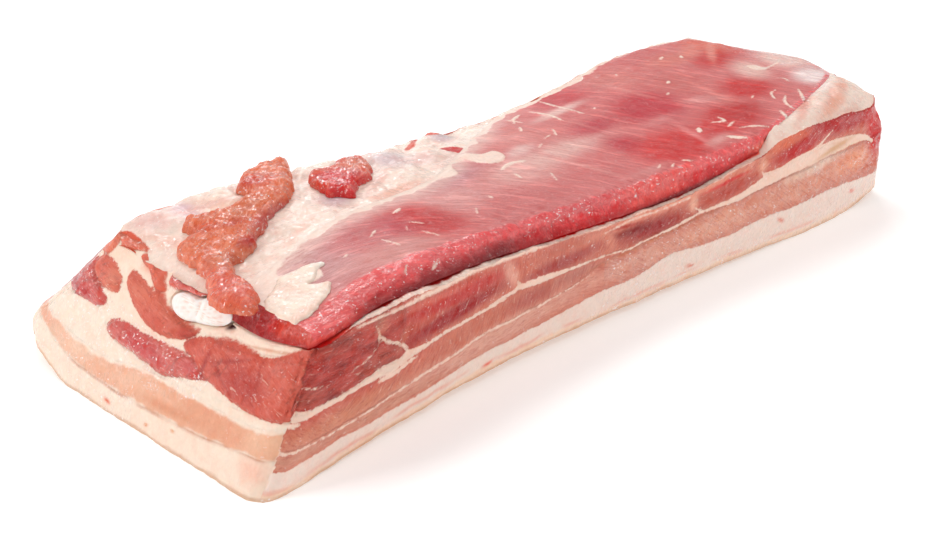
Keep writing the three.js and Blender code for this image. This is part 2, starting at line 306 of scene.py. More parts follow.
def inside_by(q, outline, reach=8.0):
    """How far points q (n, 2) are inside a closed outline in mm; negative outside it, down to -reach."""
    result = np.full(len(q), -reach)
    lo, hi = outline.min(0) - reach, outline.max(0) + reach
    near = np.all((q > lo) & (q < hi), axis=1)
    if not near.any():
        return result
    p = q[near]
    best = np.full(len(p), reach)
    inside = np.zeros(len(p), bool)
    for a, b in zip(outline, np.roll(outline, -1, 0)):
        distance, _ = segment_distance(p, a, b)
        best = np.minimum(best, distance)
        crosses = (a[1] > p[:, 1]) != (b[1] > p[:, 1])
        with np.errstate(divide="ignore", invalid="ignore"):
            at = a[0] + (p[:, 1] - a[1]) * (b[0] - a[0]) / (b[1] - a[1])
        inside ^= crosses & (p[:, 0] < at)
    result[near] = np.where(inside, best, -best)
    return result


def line_distance(q, line, reach=8.0):
    """Distance in mm of points q (n, 2) from an open line, up to reach, and how far along it they are."""
    result = np.full(len(q), reach)
    along = np.zeros(len(q))
    lo, hi = line.min(0) - reach, line.max(0) + reach
    near = np.all((q > lo) & (q < hi), axis=1)
    if not near.any():
        return result, along
    p = q[near]
    best, place_along = result[near], along[near]
    for n, (a, b) in enumerate(zip(line[:-1], line[1:])):
        distance, t = segment_distance(p, a, b)
        closer = distance < best
        best = np.where(closer, distance, best)
        place_along = np.where(closer, (n + t) / (len(line) - 1), place_along)
    result[near], along[near] = best, place_along
    return result, along


# ---------------------------------------------------------------- meshes


class Skin:
    """What the surface is made of at each vertex of a piece."""

    def __init__(self, n):
        self.lean = np.full(n, -6.0)
        self.lean_col = np.tile(rgb(200, 100, 88), (n, 1))
        self.fat_col = np.tile(rgb(236, 214, 202), (n, 1))
        self.fibre = np.zeros((n, 3))
        self.rough = np.zeros(n)
        self.wet = np.full(n, 0.4)


def make_piece(name, points, faces, skin, material, node, slot_name):
    """A closed mesh piece from millimetre points and faces, with its skin as attributes."""
    mesh = bpy.data.meshes.new(name)
    mesh.from_pydata((np.asarray(points) * MM).tolist(), [],
                     faces if isinstance(faces, list) else faces.tolist())
    mesh.validate()
    mesh.update()
    for key, values, kind in (
        ("lean", skin.lean, "FLOAT"),
        ("rough", skin.rough, "FLOAT"),
        ("wet", skin.wet, "FLOAT"),
        ("fibre", skin.fibre, "FLOAT_VECTOR"),
        ("lean_col", skin.lean_col, "FLOAT_COLOR"),
        ("fat_col", skin.fat_col, "FLOAT_COLOR"),
    ):
        layer = mesh.attributes.new(key, kind, "POINT")
        values = np.asarray(values, np.float32)
        if kind == "FLOAT_COLOR":
            values = np.hstack([values, np.ones((len(values), 1), np.float32)])
            layer.data.foreach_set("color", values.ravel())
        elif kind == "FLOAT_VECTOR":
            layer.data.foreach_set("vector", values.ravel())
        else:
            layer.data.foreach_set("value", values.ravel())
    mesh.polygons.foreach_set("use_smooth", np.ones(len(mesh.polygons), bool))
    mesh.set_sharp_from_angle(angle=math.radians(58))
    mesh.materials.append(material)
    piece = bpy.data.objects.new(name, mesh)
    bpy.context.scene.collection.objects.link(piece)
    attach(piece, "root")
    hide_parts(node)
    return piece


# ---------------------------------------------------------------- the perimeter of the slab


def perimeter():
    """Reference positions once round the slab: front, far end, back, near end."""
    front = np.linspace(-185, 185, int(370 / FRONT_STEP) + 1)[:-1]
    far = np.linspace(-75, 75, int(150 / FAR_STEP) + 1)[:-1]
    back = np.linspace(185, -185, int(370 / BACK_STEP) + 1)[:-1]
    near = np.linspace(75, -75, int(150 / NEAR_STEP) + 1)[:-1]
    rx = np.concatenate([front, np.full(len(far), 185.0), back, np.full(len(near), -185.0)])
    ry = np.concatenate([np.full(len(front), -75.0), far, np.full(len(back), 75.0), near])
    return rx, ry


FRONT_STEP, NEAR_STEP, FAR_STEP, BACK_STEP = 0.8, 0.72, 1.1, 1.2
RX, RY = perimeter()
COLUMNS = len(RX)


def outward():
    x, y = place(RX, RY, np.full(COLUMNS, 28.0))
    tx, ty = np.roll(x, -2) - np.roll(x, 2), np.roll(y, -2) - np.roll(y, 2)
    length = np.hypot(tx, ty)
    return np.stack([ty / length, -tx / length], 1)


OUT = outward()

GAP = 0.01  # between two layers' pieces


def interior(spacing, inset):
    rx = np.arange(-185 + inset, 185 - inset + 0.01, spacing)
    ry = np.arange(-75 + inset, 75 - inset + 0.01, spacing)
    gx, gy = np.meshgrid(rx, ry, indexing="ij")
    offset = (np.arange(len(rx)) % 2)[:, None] * spacing / 2
    return gx.ravel(), np.minimum(gy + offset, 75 - inset).ravel()


class Interface:
    """The surface between two layers: its edge loop, its inner points and its triangles."""

    def __init__(self, height, spacing=7.0, inset=4.0, points=None):
        x, y, z = place_on(height, RX, RY)
        self.z = z
        p = stack(x, y, z)
        p[:, :2] += OUT * relief(p)[:, None]
        if points is None:
            ix, iy = interior(spacing, inset)
            ix, iy, iz = place_on(height, ix, iy)
        else:
            ix, iy = points
            iz = height(ix, iy)
        self.loop = p
        self.inner = stack(ix, iy, iz)
        flat = [Vector(q) for q in np.vstack([p[:, :2], self.inner[:, :2]]).tolist()]
        out = delaunay_2d_cdt(flat, [], [list(range(COLUMNS))], 1, 1e-7)
        ids = [o[0] if o else -1 for o in out[3]]
        if min(ids) < 0:
            raise ValueError("an edge loop crosses itself")
        self.triangles = [[ids[k] for k in face] for face in out[2]]


def facing_up(points, triangles):
    a, b, c = (points[[t[k] for t in triangles]] for k in range(3))
    n = np.cross(b - a, c - a)[:, 2]
    return [t if up > 0 else t[::-1] for t, up in zip(triangles, n)]


def layer_points(low, high, rows):
    """Points and faces of a closed layer between two interfaces; wall rows first, from the bottom."""
    t = np.linspace(0, 1, rows + 1)[:, None]
    z = lerp(low.z + GAP / 2, high.z - GAP / 2, t)
    x, y = place(RX[None] + 0 * z, RY[None] + 0 * z, z)
    wall = stack(x, y, z).reshape(-1, 3)
    normals = np.tile(OUT, (rows + 1, 1))
    wall[:, :2] += normals * relief(wall)[:, None]
    bottom_inner = low.inner + [0, 0, GAP / 2]
    top_inner = high.inner - [0, 0, GAP / 2]
    wall[:COLUMNS, :2] = low.loop[:, :2]
    wall[-COLUMNS:, :2] = high.loop[:, :2]
    points = np.vstack([wall, bottom_inner, top_inner])
    faces = []
    k = np.arange(COLUMNS)
    following = (k + 1) % COLUMNS
    for row in range(rows):
        a = row * COLUMNS
        quads = np.stack([a + k, a + following, a + COLUMNS + following, a + COLUMNS + k], 1)
        faces += quads.tolist()
    n_wall = (rows + 1) * COLUMNS
    low_ids = np.concatenate([k, n_wall + np.arange(len(low.inner))])
    high_ids = np.concatenate([rows * COLUMNS + k, n_wall + len(low.inner) + np.arange(len(high.inner))])
    for interface, ids, flip in ((low, low_ids, True), (high, high_ids, False)):
        up = facing_up(np.vstack([interface.loop, interface.inner]), interface.triangles)
        faces += [[int(ids[v]) for v in (t[::-1] if flip else t)] for t in up]
    return points, faces, n_wall


# ---------------------------------------------------------------- what shows at the sides

SIDE_FAT = seen(232, 210, 198)
END_FAT = seen(255, 230, 210, END_LIGHT)
CREAM = seen(233, 200, 183)


def patch_colours(q, base, patches, tone):
    """Colours at chart points q: the base colour with soft patches laid over it."""
    col = np.tile(base, (len(q), 1)) if np.ndim(base) == 1 else base.copy()
    for (cx, cy), (hx, hy), turn, colour, weight in patches:
        a = math.radians(turn)
        dx, dy = q[:, 0] - cx, q[:, 1] - cy
        u = (dx * math.cos(a) + dy * math.sin(a)) / hx
        v = (-dx * math.sin(a) + dy * math.cos(a)) / hy
        strength = np.minimum(weight * bell(np.hypot(u, v) ** 1.5), 1.0)
        col = lerp(col, tone(*colour), strength[:, None])
    return col


def shape(points, colour, rough=0.3, wet=0.4, grain=(1, 0.6), steps=5):
    return closed_curve(points, steps), np.asarray(colour), rough, wet, grain


def end_colour(red, green, blue):
    return seen(red, green, blue, END_LIGHT)


# Muscles in the cut face of the near end, in Y and Z.
END_MUSCLES = [
    shape([(57, 32), (55.5, 28.3), (46, 27.4), (36, 27.3), (31, 28.5), (30.5, 31), (35, 33.5), (40, 36),
           (44, 40),
           (48, 39), (53, 36.5)], end_colour(214, 92, 84), 0.4, 1.7, (1, 0.4)),
    shape([(44, 40), (40, 43), (34, 43), (28, 40.5), (25.5, 37.5), (26, 34.5), (31, 33.8), (36, 34.5),
           (41, 36.5)],
          end_colour(226, 118, 99), 0.3, 0.4, (1, 0.2)),
    shape([(46, 43), (45, 46), (40, 49.5), (37, 52), (33, 52.5), (34, 50), (35, 47), (38, 44), (42, 42.5)],
          end_colour(234, 128, 102), 0.4, 0.4, (0.6, 1)),
    shape([(34, 51.5), (28, 53), (18, 53), (9, 51.5), (7, 49.5), (13, 49), (20, 49.5), (26, 48.5),
           (32, 48.3)],
          end_colour(236, 124, 98), 0.5, 0.5, (1, 0.1)),
    shape([(20, 49), (12, 50), (6, 48.5), (4, 45), (2, 42), (6, 40.5), (10, 42), (14, 45), (19, 46.5)],
          end_colour(232, 118, 95), 0.4, 0.4, (1, 0.5)),
    shape([(23, 42.5), (20, 43), (14, 41.5), (8, 40.5), (2, 41), (-1, 38.8), (-8, 37.3), (-15, 36.8),
           (-21, 36.5), (-18, 33), (-11, 30.5), (-3, 29.3), (4, 29.6), (11, 31.5), (18, 35), (23, 38.5)],
          end_colour(222, 116, 96), 0.25,
          0.3, (1, 0.35)),
    shape([(26, 24.5), (22, 27), (14, 27.5), (4, 27.3), (-6, 27.8), (-16, 28.3), (-24, 27.8), (-30, 26),
           (-33, 24.5), (-26, 22.5), (-18, 20.5), (-10, 18.5), (-2, 19), (8, 20), (18, 20.6), (24, 21.5)],
          end_colour(220, 104, 92), 0.5, 1.5, (1, 0.1)),
    shape([(-15.5, 31), (-20, 34), (-28, 36.5), (-36, 38.5), (-46, 39), (-54, 38.6), (-60, 40.5), (-65, 43.5),
           (-70, 46), (-73, 45.5), (-74.5, 40), (-76, 35), (-79, 31), (-79, 28), (-75, 25), (-66, 22.8),
           (-56, 22), (-46, 22.7), (-38, 23.5), (-30, 24.7), (-22, 28), (-17, 29)],
          end_colour(220, 108, 92), 0.3, 0.4, (1, 0.5)),
    shape([(2, 44.5), (1, 49), (-3, 50.8), (-7, 49.5), (-14, 49), (-18, 50), (-20, 48), (-17, 45.6),
           (-10, 44.6),
           (-4, 44)], end_colour(232, 104, 88), 0.5, 1.4, (1, 0.6)),
    shape([(-30, 49.5), (-40, 47.5), (-50, 46.5), (-60, 46), (-70, 47), (-78, 49), (-80, 51), (-70, 50.5),
           (-60, 49.5), (-50, 49.8), (-40, 49.3)], end_colour(176, 34, 42), 0.7, 0.8, (1, 0.1)),
]

# Tints of them.
END_LEAN_PATCHES = [
    ((-50, 30), (12, 5), 0, (194, 78, 70), 0.9), ((-36, 33), (6, 5), 20, (212, 104, 88), 0.7),
    ((-30, 29), (1.2, 6), 10, (176, 66, 62), 0.8), ((-42, 34), (8, 0.8), -20, (180, 70, 64), 0.8),
    ((-40, 28), (9, 0.7), 25, (184, 72, 66), 0.8), ((-56, 33), (0.9, 6), -10, (182, 72, 66), 0.7),
    ((-66, 34), (8, 6), 0, (222, 112, 94), 0.7), ((4, 24), (16, 3.4), 4, (212, 74, 74), 0.9),
    ((-24, 25.5), (6, 2), 10, (214, 84, 82), 0.8), ((18, 24), (6, 2), 0, (222, 104, 92), 0.7),
    ((52, 31), (5, 4), 0, (198, 56, 62), 1.0), ((42, 30), (6, 2.4), 10, (206, 66, 66), 0.9),
    ((30, 38), (4, 5), 0, (232, 138, 114), 0.9), ((-16, 34), (5, 2), 0, (196, 84, 74), 0.9),
    ((16, 39), (8, 2), 0, (230, 132, 108), 0.8), ((2, 33), (10, 2.6), 0, (214, 98, 82), 0.7),
    ((-8, 48), (10, 2), 0, (212, 84, 74), 0.8),
]
END_PALE_PATCHES = [
    ((-40, 15), (16, 5), 0, (236, 168, 136), 0.9), ((0, 12), (16, 4), 0, (244, 190, 160), 0.8),
    ((40, 13), (16, 4), 0, (246, 200, 172), 0.9), ((-66, 18), (7, 6), 0, (246, 196, 164), 0.8),
    ((-20, 11), (14, 1.4), -4, (226, 152, 118), 0.7), ((60, 16), (6, 3), 0, (240, 178, 150), 0.8),
]
# Tints of the near end's fat, in Y and Z.
END_FAT_PATCHES = [
    ((12, 3), (2.2, 0.6), 8, (236, 120, 84), 1.0), ((-11, 3), (0.9, 0.5), 0, (232, 160, 110), 1.0),
    ((-25, 6), (1.2, 0.5), 0, (236, 170, 130), 1.0), ((-50, 43), (18, 3), -6, (255, 232, 212), 0.9),
    ((-56, 41.2), (12, 0.5), -10, (228, 176, 146), 0.8), ((-62, 45), (10, 1), -12, (232, 150, 126), 0.7),
    # The two dark brown spots at (-34.5, 45.2) and (-34.5, 41.4) are painted shade in the pits that relief()
    # cuts there.
    ((-34.5, 45.2), (1.8, 0.7), 30, (96, 26, 16), 1.3), ((-34.5, 41.4), (2.2, 0.7), -20, (96, 26, 16), 1.3),
    ((32, 45.5), (10, 2.5), -10, (250, 214, 190), 0.7), ((-66, 8), (7, 4), 0, (252, 204, 182), 0.8),
    ((-73, 41), (1.2, 3), 0, (250, 214, 160), 0.9), ((45, 18), (16, 4), 0, (254, 232, 212), 0.8),
    ((14, 46), (5, 2), 0, (240, 150, 124), 0.7), ((-2, 28.3), (14, 0.6), 0, (250, 206, 186), 0.8),
]

# The long front side, on a flat chart in X and Z that from_side() maps to. It is lean above SIDE_FAT_TOP,
# apart from the seams: each is a list of X, Z and half thickness.
SIDE_FAT_TOP = profile([
    (-152, 10.5), (-130, 11), (-110, 12), (-90, 13.5), (-75, 15.5), (-60, 16.5), (-40, 16.8), (-20, 17.6),
    (0, 18.5), (20, 18), (40, 20.4), (60, 17.8), (80, 16.4), (100, 17.2), (120, 15.6), (150, 15), (180, 13),
])
SIDE_SEAMS = [
    [(-158, 23.5, 1.5), (-150, 25, 1.5), (-140, 26.5, 1.4), (-130, 27.4, 1.2), (-120, 28.3, 1.5),
     (-112, 28.8, 2.1), (-105, 29.8, 1.8), (-100, 31, 0.9), (-90, 32, 0.6), (-80, 33, 0.75),
     (-70, 33.6, 0.75), (-60, 34.3, 1), (-52, 35.4, 1.3), (-45, 36.4, 1.7), (-38, 35.8, 1.2), (-28, 35, 0.7),
     (-15, 34.2, 0.45), (0, 33, 0.35), (10, 32, 0.3)],
    [(-116, 26, 0.5), (-110, 26.3, 1.2), (-103, 27.6, 0.8), (-98, 29.5, 0.3)],
    [(-158, 13.6, 0.6), (-140, 14, 0.5), (-130, 15, 0.45), (-120, 16.2, 0.45), (-110, 17.6, 0.45),
     (-100, 19.3, 0.55), (-90, 20.6, 0.55), (-80, 22, 0.65), (-70, 23.5, 0.65), (-60, 24.5, 0.6),
     (-50, 24.5, 0.5), (-40, 24.8, 0.45), (-30, 25.6, 0.35), (-18, 26.6, 0.25), (-6, 28.2, 0.1)],
    [(-125, 50.6, 0.7), (-110, 50.2, 0.7), (-90, 50.8, 0.9), (-80, 51.4, 1.2), (-70, 51.6, 1.5),
     (-60, 51.3, 1.4), (-50, 50.3, 1.3), (-40, 49.5, 1.3), (-30, 49, 1.3), (-20, 48.4, 1.3),
     (-10, 47.4, 1.2), (-2, 46.3, 0.9), (8, 45.9, 0.7), (18, 45, 0.6), (30, 44.2, 0.5), (50, 43.6, 0.5),
     (70, 44.2, 0.5), (90, 46, 0.5)],
    [(-48.5, 40, 0.2), (-47, 38, 0.9), (-46, 36.5, 1.2)], [(54, 36, 0.2), (57, 34, 0.7), (60, 32.6, 0.5)],
    [(96, 39, 0.2), (98, 37, 0.9), (101, 34, 0.9)],
    [(10, 31.3, 0.4), (40, 31.8, 0.4), (60, 32.6, 0.7), (80, 32, 0.6), (95, 33.2, 1), (110, 34.4, 2.0),
     (125, 35.2, 3.0), (138, 35.2, 4.2), (150, 35, 4.6), (160, 34.4, 3.6), (170, 33, 2.2), (178, 29, 0.8)],
    [(99, 36.8, 0.6), (112, 36.6, 1), (126, 37.6, 0.8), (137, 40, 0.7), (144, 43.5, 0.3)],
    [(0, 42.6, 0.2), (14, 43.2, 0.5), (30, 42.2, 0.3), (50, 41.6, 0.4)],
    [(131, 55, 2.6), (120, 53, 1.6), (104, 51.5, 0.9)],
    [(-117, 48, 0.2), (-115, 44, 0.9), (-112, 40, 0.8), (-104, 35, 0.8), (-101, 30, 0.8)],
    [(-114, 40, 0.3), (-120, 37, 0.4), (-128, 35, 0.1)],
]
SIDE_SEAMS = [(open_curve([q[:2] for q in seam]), [q[2] for q in seam]) for seam in SIDE_SEAMS]
# Colours of the lean there: middle, half sizes, turn in degrees, colour and strength.
SIDE_PATCHES = [
    ((-60, 21), (60, 5), 4, (217, 164, 147), 1.0), ((-112, 14.5), (26, 2.5), 4, (208, 150, 130), 0.9),
    ((20, 24), (30, 5), 0, (217, 158, 140), 1.0), ((70, 24), (34, 6), 0, (222, 160, 138), 1.0),
    ((125, 23), (34, 6.5), 0, (219, 154, 132), 1.0), ((164, 24), (14, 6), 0, (236, 164, 134), 0.9),
    ((134, 29.5), (22, 2.6), 2, (232, 200, 180), 0.9), ((-125, 20.5), (24, 4), 6, (204, 138, 114), 1.0),
    ((-75, 27.5), (28, 4), 8, (200, 124, 106), 1.0), ((-40, 30), (13, 3.6), 0, (184, 106, 96), 1.0),
    ((-16, 31), (14, 3), 0, (192, 128, 116), 0.9), ((-124, 38), (28, 13), 0, (184, 66, 60), 1.1),
    ((-139, 39), (8, 10), 0, (140, 14, 26), 0.8), ((-132, 47), (9, 3), 0, (186, 92, 82), 0.7),
    ((-116, 34), (12, 4), 10, (178, 98, 84), 0.9), ((-118, 40), (5, 2), 0, (150, 42, 42), 0.8),
    ((-80, 45.5), (30, 4), 0, (192, 76, 72), 1.2), ((-80, 38.5), (26, 3.6), 6, (162, 58, 64), 1.2),
    ((-28, 44.6), (22, 3.4), -8, (208, 126, 110), 1.0), ((-24, 38.6), (22, 3.2), 0, (176, 86, 82), 1.0),
    ((28, 36), (24, 4.6), -4, (160, 62, 62), 1.0), ((16, 38.4), (12, 1.8), -6, (138, 36, 42), 0.9),
    ((76, 37.4), (22, 4.4), 0, (184, 86, 76), 1.0), ((40, 43), (52, 2.2), 0, (226, 150, 128), 0.9),
    ((74, 41.3), (14, 0.9), 2, (212, 62, 54), 0.9), ((12, 41.6), (10, 0.8), -8, (170, 44, 40), 0.8),
    ((120, 43), (18, 5.4), 4, (186, 62, 54), 1.2), ((114, 48), (16, 2.6), 4, (220, 124, 98), 0.9),
    ((152, 48), (26, 8), -6, (176, 20, 24), 1.5), ((142, 52), (5, 3.4), 0, (172, 50, 50), 0.7),
    ((170, 44), (8, 4), -40, (184, 60, 56), 1.0), ((182, 36), (9, 14), 6, (200, 4, 22), 1.6),
    ((30, 30.4), (36, 0.6), 1, (200, 124, 92), 0.8),
    ((-114, 46.5), (3, 4), 0, (222, 160, 136), 1.0), ((-105, 37), (2, 6), -30, (206, 128, 108), 0.9),
    ((-51, 43.5), (3, 6), 30, (226, 164, 146), 1.1), ((3, 38.5), (2.5, 6), 40, (214, 140, 120), 0.9),
    ((53, 38), (3, 4), 30, (226, 168, 146), 1.0), ((97, 41), (3, 4), 20, (224, 160, 136), 1.0),
    ((-146, 45), (3, 6), 0, (196, 74, 66), 0.9), ((-90, 47.8), (20, 1.4), 0, (214, 120, 106), 0.8),
]
# Tints of the fat there.
SIDE_FAT_PATCHES = [
    ((-63, 11.3), (2.6, 0.8), 10, (226, 120, 104), 1.0), ((53, 11), (2.6, 0.7), -10, (216, 128, 106), 1.0),
    ((112, 12.2), (3, 0.8), -30, (214, 126, 108), 1.0), ((165, 9), (1.8, 0.6), -10, (222, 110, 92), 1.0),
    ((148, 34), (14, 1.2), 6, (206, 160, 124), 0.9), ((158, 31.5), (10, 1.4), 0, (240, 214, 184), 0.9),
    ((-113, 45), (3, 3), 0, (222, 172, 146), 1.0), ((-48, 40), (4, 3), 0, (222, 176, 156), 1.0),
    ((125, 54), (16, 3), 10, (250, 214, 192), 1.0),
]
SIDE_VIEW_DROP = 0.696


# The slant of the fibres along each of the three bands of lean, in degrees from X, and its integral.
SIDE_GRAIN_X = np.arange(-180, 201, 1.0)
SIDE_GRAIN = []
for knots in ([(-150, 4), (-30, 6), (20, -32), (180, -30)], [(-150, 40), (-100, 62), (0, 50), (180, 20)],
              [(-150, 6), (-112, 8), (-96, 60), (-40, 66), (0, 30), (100, 24), (180, 20)]):
    turn = profile(knots)
    climb = np.cumsum(np.tan(np.radians(turn(SIDE_GRAIN_X))))
    SIDE_GRAIN.append((turn, climb))


def from_side(x, y, z):
    """Where a point near the front side lies on the flat chart of its pattern."""
    depth = y + WIDTH / 2
    return x + CHART_SHIFT - depth, z + SIDE_VIEW_DROP * depth


def fold_back(s):
    """The front's pattern runs on round the far end and the back, there and back again."""
    low, high = -148.0, 176.0
    span = high - low
    u = np.mod(s - low, 2 * span)
    return low + np.where(u > span, 2 * span - u, u)


def near_face(p):
    """Signed distance past the near front corner, and the coordinate that runs round it."""
    on_end = p[:, 0] - near_end(p[:, 2])
    on_front = p[:, 1] + WIDTH / 2
    return on_end - on_front, p[:, 1] - on_end, on_end


def paint_walls(p, skin):
    """The pattern of the four sides at the points p (n, 3)."""
    x, y, z = p.T
    n = len(p)
    end_bias, _, from_end = near_face(p)
    back_bias = from_end - (back_edge(x, z) - y)
    end = (from_end < 12) & (end_bias + 1.8 * fbm(p, 5, 3, 99) < 0) & (back_bias < 0)
    # the distance round the slab from the far front corner, for the rest
    front_gap = y - front_edge(x)
    back_gap = back_edge(x, z) - y
    far_gap = far_end(y, z) - x
    side = np.argmin(np.stack([front_gap, far_gap, back_gap]), 0)
    run = np.where(side == 0, x, np.where(side == 1, 176 - (y + 75) * 0.95, 34 - (176 - x)))
    # at the back the layers lie lower, so the chart is stretched to follow them
    knots_here = np.stack([f(x, y) for f in (underside, fat_top, pale_top, seam_top, lean_top, slab_top)])
    fx = fold_back(run)
    knots_front = np.stack([f(fx, front_edge(fx)) for f in (underside, fat_top, pale_top, seam_top, lean_top,
                                                            slab_top)])
    level = np.sum(z[None] > knots_here, 0).clip(1, 5) - 1
    k = np.arange(n)
    lo, hi = knots_here[level, k], knots_here[level + 1, k]
    flo, fhi = knots_front[level, k], knots_front[level + 1, k]
    z_front = lerp(flo, fhi, (z - lo) / np.maximum(hi - lo, 0.5))
    z_chart = np.where(side == 0, z, z_front)
    chart_x, chart_z = from_side(fx, front_edge(fx), z_chart)
    q = np.stack([chart_x, chart_z], 1)

    lean = np.minimum(chart_z - SIDE_FAT_TOP(chart_x), 6)
    for line, halves in SIDE_SEAMS:
        distance, along = line_distance(q, line)
        half = np.interp(along, np.linspace(0, 1, len(halves)), halves)
        lean = np.minimum(lean, distance - 0.85 * half)
    col = patch_colours(q, seen(206, 128, 110), SIDE_PATCHES, seen)
    third = chart_z > np.interp(chart_x, [-150, -100, -50, 0, 180], [26, 31, 35.5, 33, 33])
    dark = third & (chart_x < -104)
    pink = chart_z < np.interp(chart_x, [-150, -100, -60, -20, 0, 180], [14, 19.5, 24.5, 26.5, 31, 31])
    rough = np.where(dark, 1.1, np.where(pink & (chart_x > 0), 0.65, 0.32))
    wet = np.where(pink & (chart_x > 0), 0.9, np.where(third, 0.5, 0.35))
    grain = np.tile([0.0, 0.0], (n, 1))
    band = np.where(pink, 0, np.where(third, 2, 1))
    lean = np.where(end, -6.0, lean)
    hole = smooth((-98 - chart_x) / 10) * third * ~end
    mottle = (0.75 + 0.9 * fbm(p * [0.3, 1, 1], 2.8, 3, 17)).clip(0.0, 1.0)
    col = lerp(col, lerp(seen(104, 14, 20)[None], seen(206, 104, 94)[None], mottle[:, None]),
               (0.5 * hole)[:, None])

    def add(where, coords, shapes):
        nonlocal lean, col, rough, wet, grain
        for outline, colour, r, w, g in shapes:
            d = np.full(n, -8.0)
            d[where] = inside_by(coords[where], outline)
            take = d > lean
            blend = take[:, None]
            lean = np.where(take, d, lean)
            col = np.where(blend, colour, col)
            rough = np.where(take, r, rough)
            wet = np.where(take, w, wet)
            grain = np.where(blend, g, grain)

    wrap = np.stack([y, z], 1)
    add(end, wrap, END_MUSCLES)
    col = np.where(end[:, None], patch_colours(wrap, col, END_LEAN_PATCHES, end_colour), col)
    cracks = bell(fbm(p, 8, 3, 101) / 0.05) * smooth(0.5 + 1.5 * fbm(p, 14, 2, 103))
    col = col * (1 - 0.35 * end * cracks)[:, None]
    fat = lerp(SIDE_FAT[None], CREAM[None], smooth((chart_z - SIDE_FAT_TOP(chart_x) + 1) / 3)[:, None])
    fat = patch_colours(q, fat, SIDE_FAT_PATCHES, seen)
    above = z - underside(x, y)
    rind = 1 - smooth((above - 1.6 - 0.8 * fbm(p, 7, 2, 81)) / 1.2)
    fat = lerp(fat, seen(236, 200, 172)[None], 0.7 * rind[:, None])
    vein = bell((above - 3.4 - 1.2 * fbm(p, 16, 2, 83)) / 0.7) * smooth(0.5 + 1.6 * fbm(p, 22, 2, 85))
    fat = lerp(fat, seen(226, 164, 146)[None], 0.75 * vein[:, None])
    end_fat = patch_colours(wrap, END_FAT, END_FAT_PATCHES, end_colour)
    # the pale layer of the near end
    pale = np.minimum(z - fat_top(x, y) - 0.2, pale_top(x, y) - 0.9 - z) + 0.7 * fbm(p, 5, 3, 95)
    pale_col = patch_colours(wrap, end_colour(241, 181, 151), END_PALE_PATCHES, end_colour)
    pale_col = pale_col * (1 + 0.05 * fbm(p, 3.5, 3, 97))[:, None]
    end_fat = lerp(end_fat, pale_col, smooth((pale + 0.4) / 1.1)[:, None])
    rough = np.where(end & (lean < 0) & (pale > 0), 0.5, rough)
    slit = bell((z - fat_top(x, y) + 0.2) / 0.35) * smooth((46 - y) / 12)
    end_fat = lerp(end_fat, end_colour(206, 124, 88)[None],
                   (0.85 * slit * smooth(0.7 + fbm(p, 12, 2, 87)))[:, None])
    fat = lerp(fat, end_fat, end[:, None].astype(float))
    # The lowest millimetre is painted darker brown: partly the rind's own darker edge, partly painted contact
    # shade along the bottom.
    rind_edge_shade = 1 - smooth((above - 0.5 - 0.5 * fbm(p, 9, 2, 89)) / 0.8)
    fat = lerp(fat, seen(190, 140, 106)[None], 0.6 * rind_edge_shade[:, None])
    skin.lean = lean
    skin.lean_col = col
    skin.fat_col = fat
    skin.rough = rough
    skin.wet = wet
    straight = np.linalg.norm(grain, axis=1)
    g = grain / np.maximum(straight, 1e-6)[:, None]
    across = np.where(end | (side == 1), y, x)
    u = across * g[:, 0] + z * g[:, 1]
    v = -across * g[:, 1] + z * g[:, 0]
    for k, (turn, climb) in enumerate(SIDE_GRAIN):
        here = (band == k) & (straight == 0)
        at = chart_x[here]
        u[here] = at + 0.5 * chart_z[here]
        v[here] = (chart_z[here] - np.interp(at, SIDE_GRAIN_X, climb)) * np.cos(np.radians(turn(at))) + 50 * k
    depth = np.where(end | (side == 1), x, y)
    skin.fibre = np.stack([u, v, depth], 1)
    return skin


# ---------------------------------------------------------------- relief of the sides

CARTILAGE = closed_curve([
    (-3, 40.5), (-4.5, 43.4), (-10, 44.8), (-15.5, 44.6), (-20, 46.6), (-26, 47.6), (-32, 46.8), (-34.5, 44),
    (-32, 41.5), (-26, 39.6), (-19, 38.4), (-12, 37.2), (-6, 38),
], 4)


# Lumps and hollows in the front side: middle, half sizes on its chart, and height.
SIDE_LUMPS = [
    (156, 48, 15, 7, 1.8), (118, 43, 16, 5, 1.0), (154, 32, 12, 1.6, 0.9), (146, 36.5, 14, 1, -1.0),
    (78, 37, 18, 4, 0.8), (28, 36, 20, 4, 0.6), (-80, 43, 26, 6, 0.9), (-24, 41, 20, 5, 0.7),
    (-54, 35, 8, 1, -0.6), (-128, 40, 16, 9, 0.8), (-113, 40, 1.6, 8, -1.2), (-102, 36, 2, 6, -0.8),
    (-47, 38, 2, 3, -0.7), (100, 37, 3, 3, -0.8), (57, 35, 3, 2.5, -0.7), (165, 26, 10, 6, 0.9),
    (130, 24, 12, 6, 0.7), (90, 23, 12, 6, 0.6), (180, 36, 4, 6, -1.5), (40, 24, 12, 5, 0.5),
    (-90, 27, 20, 3, 0.5), (-125, 22, 14, 3, 0.5),
]


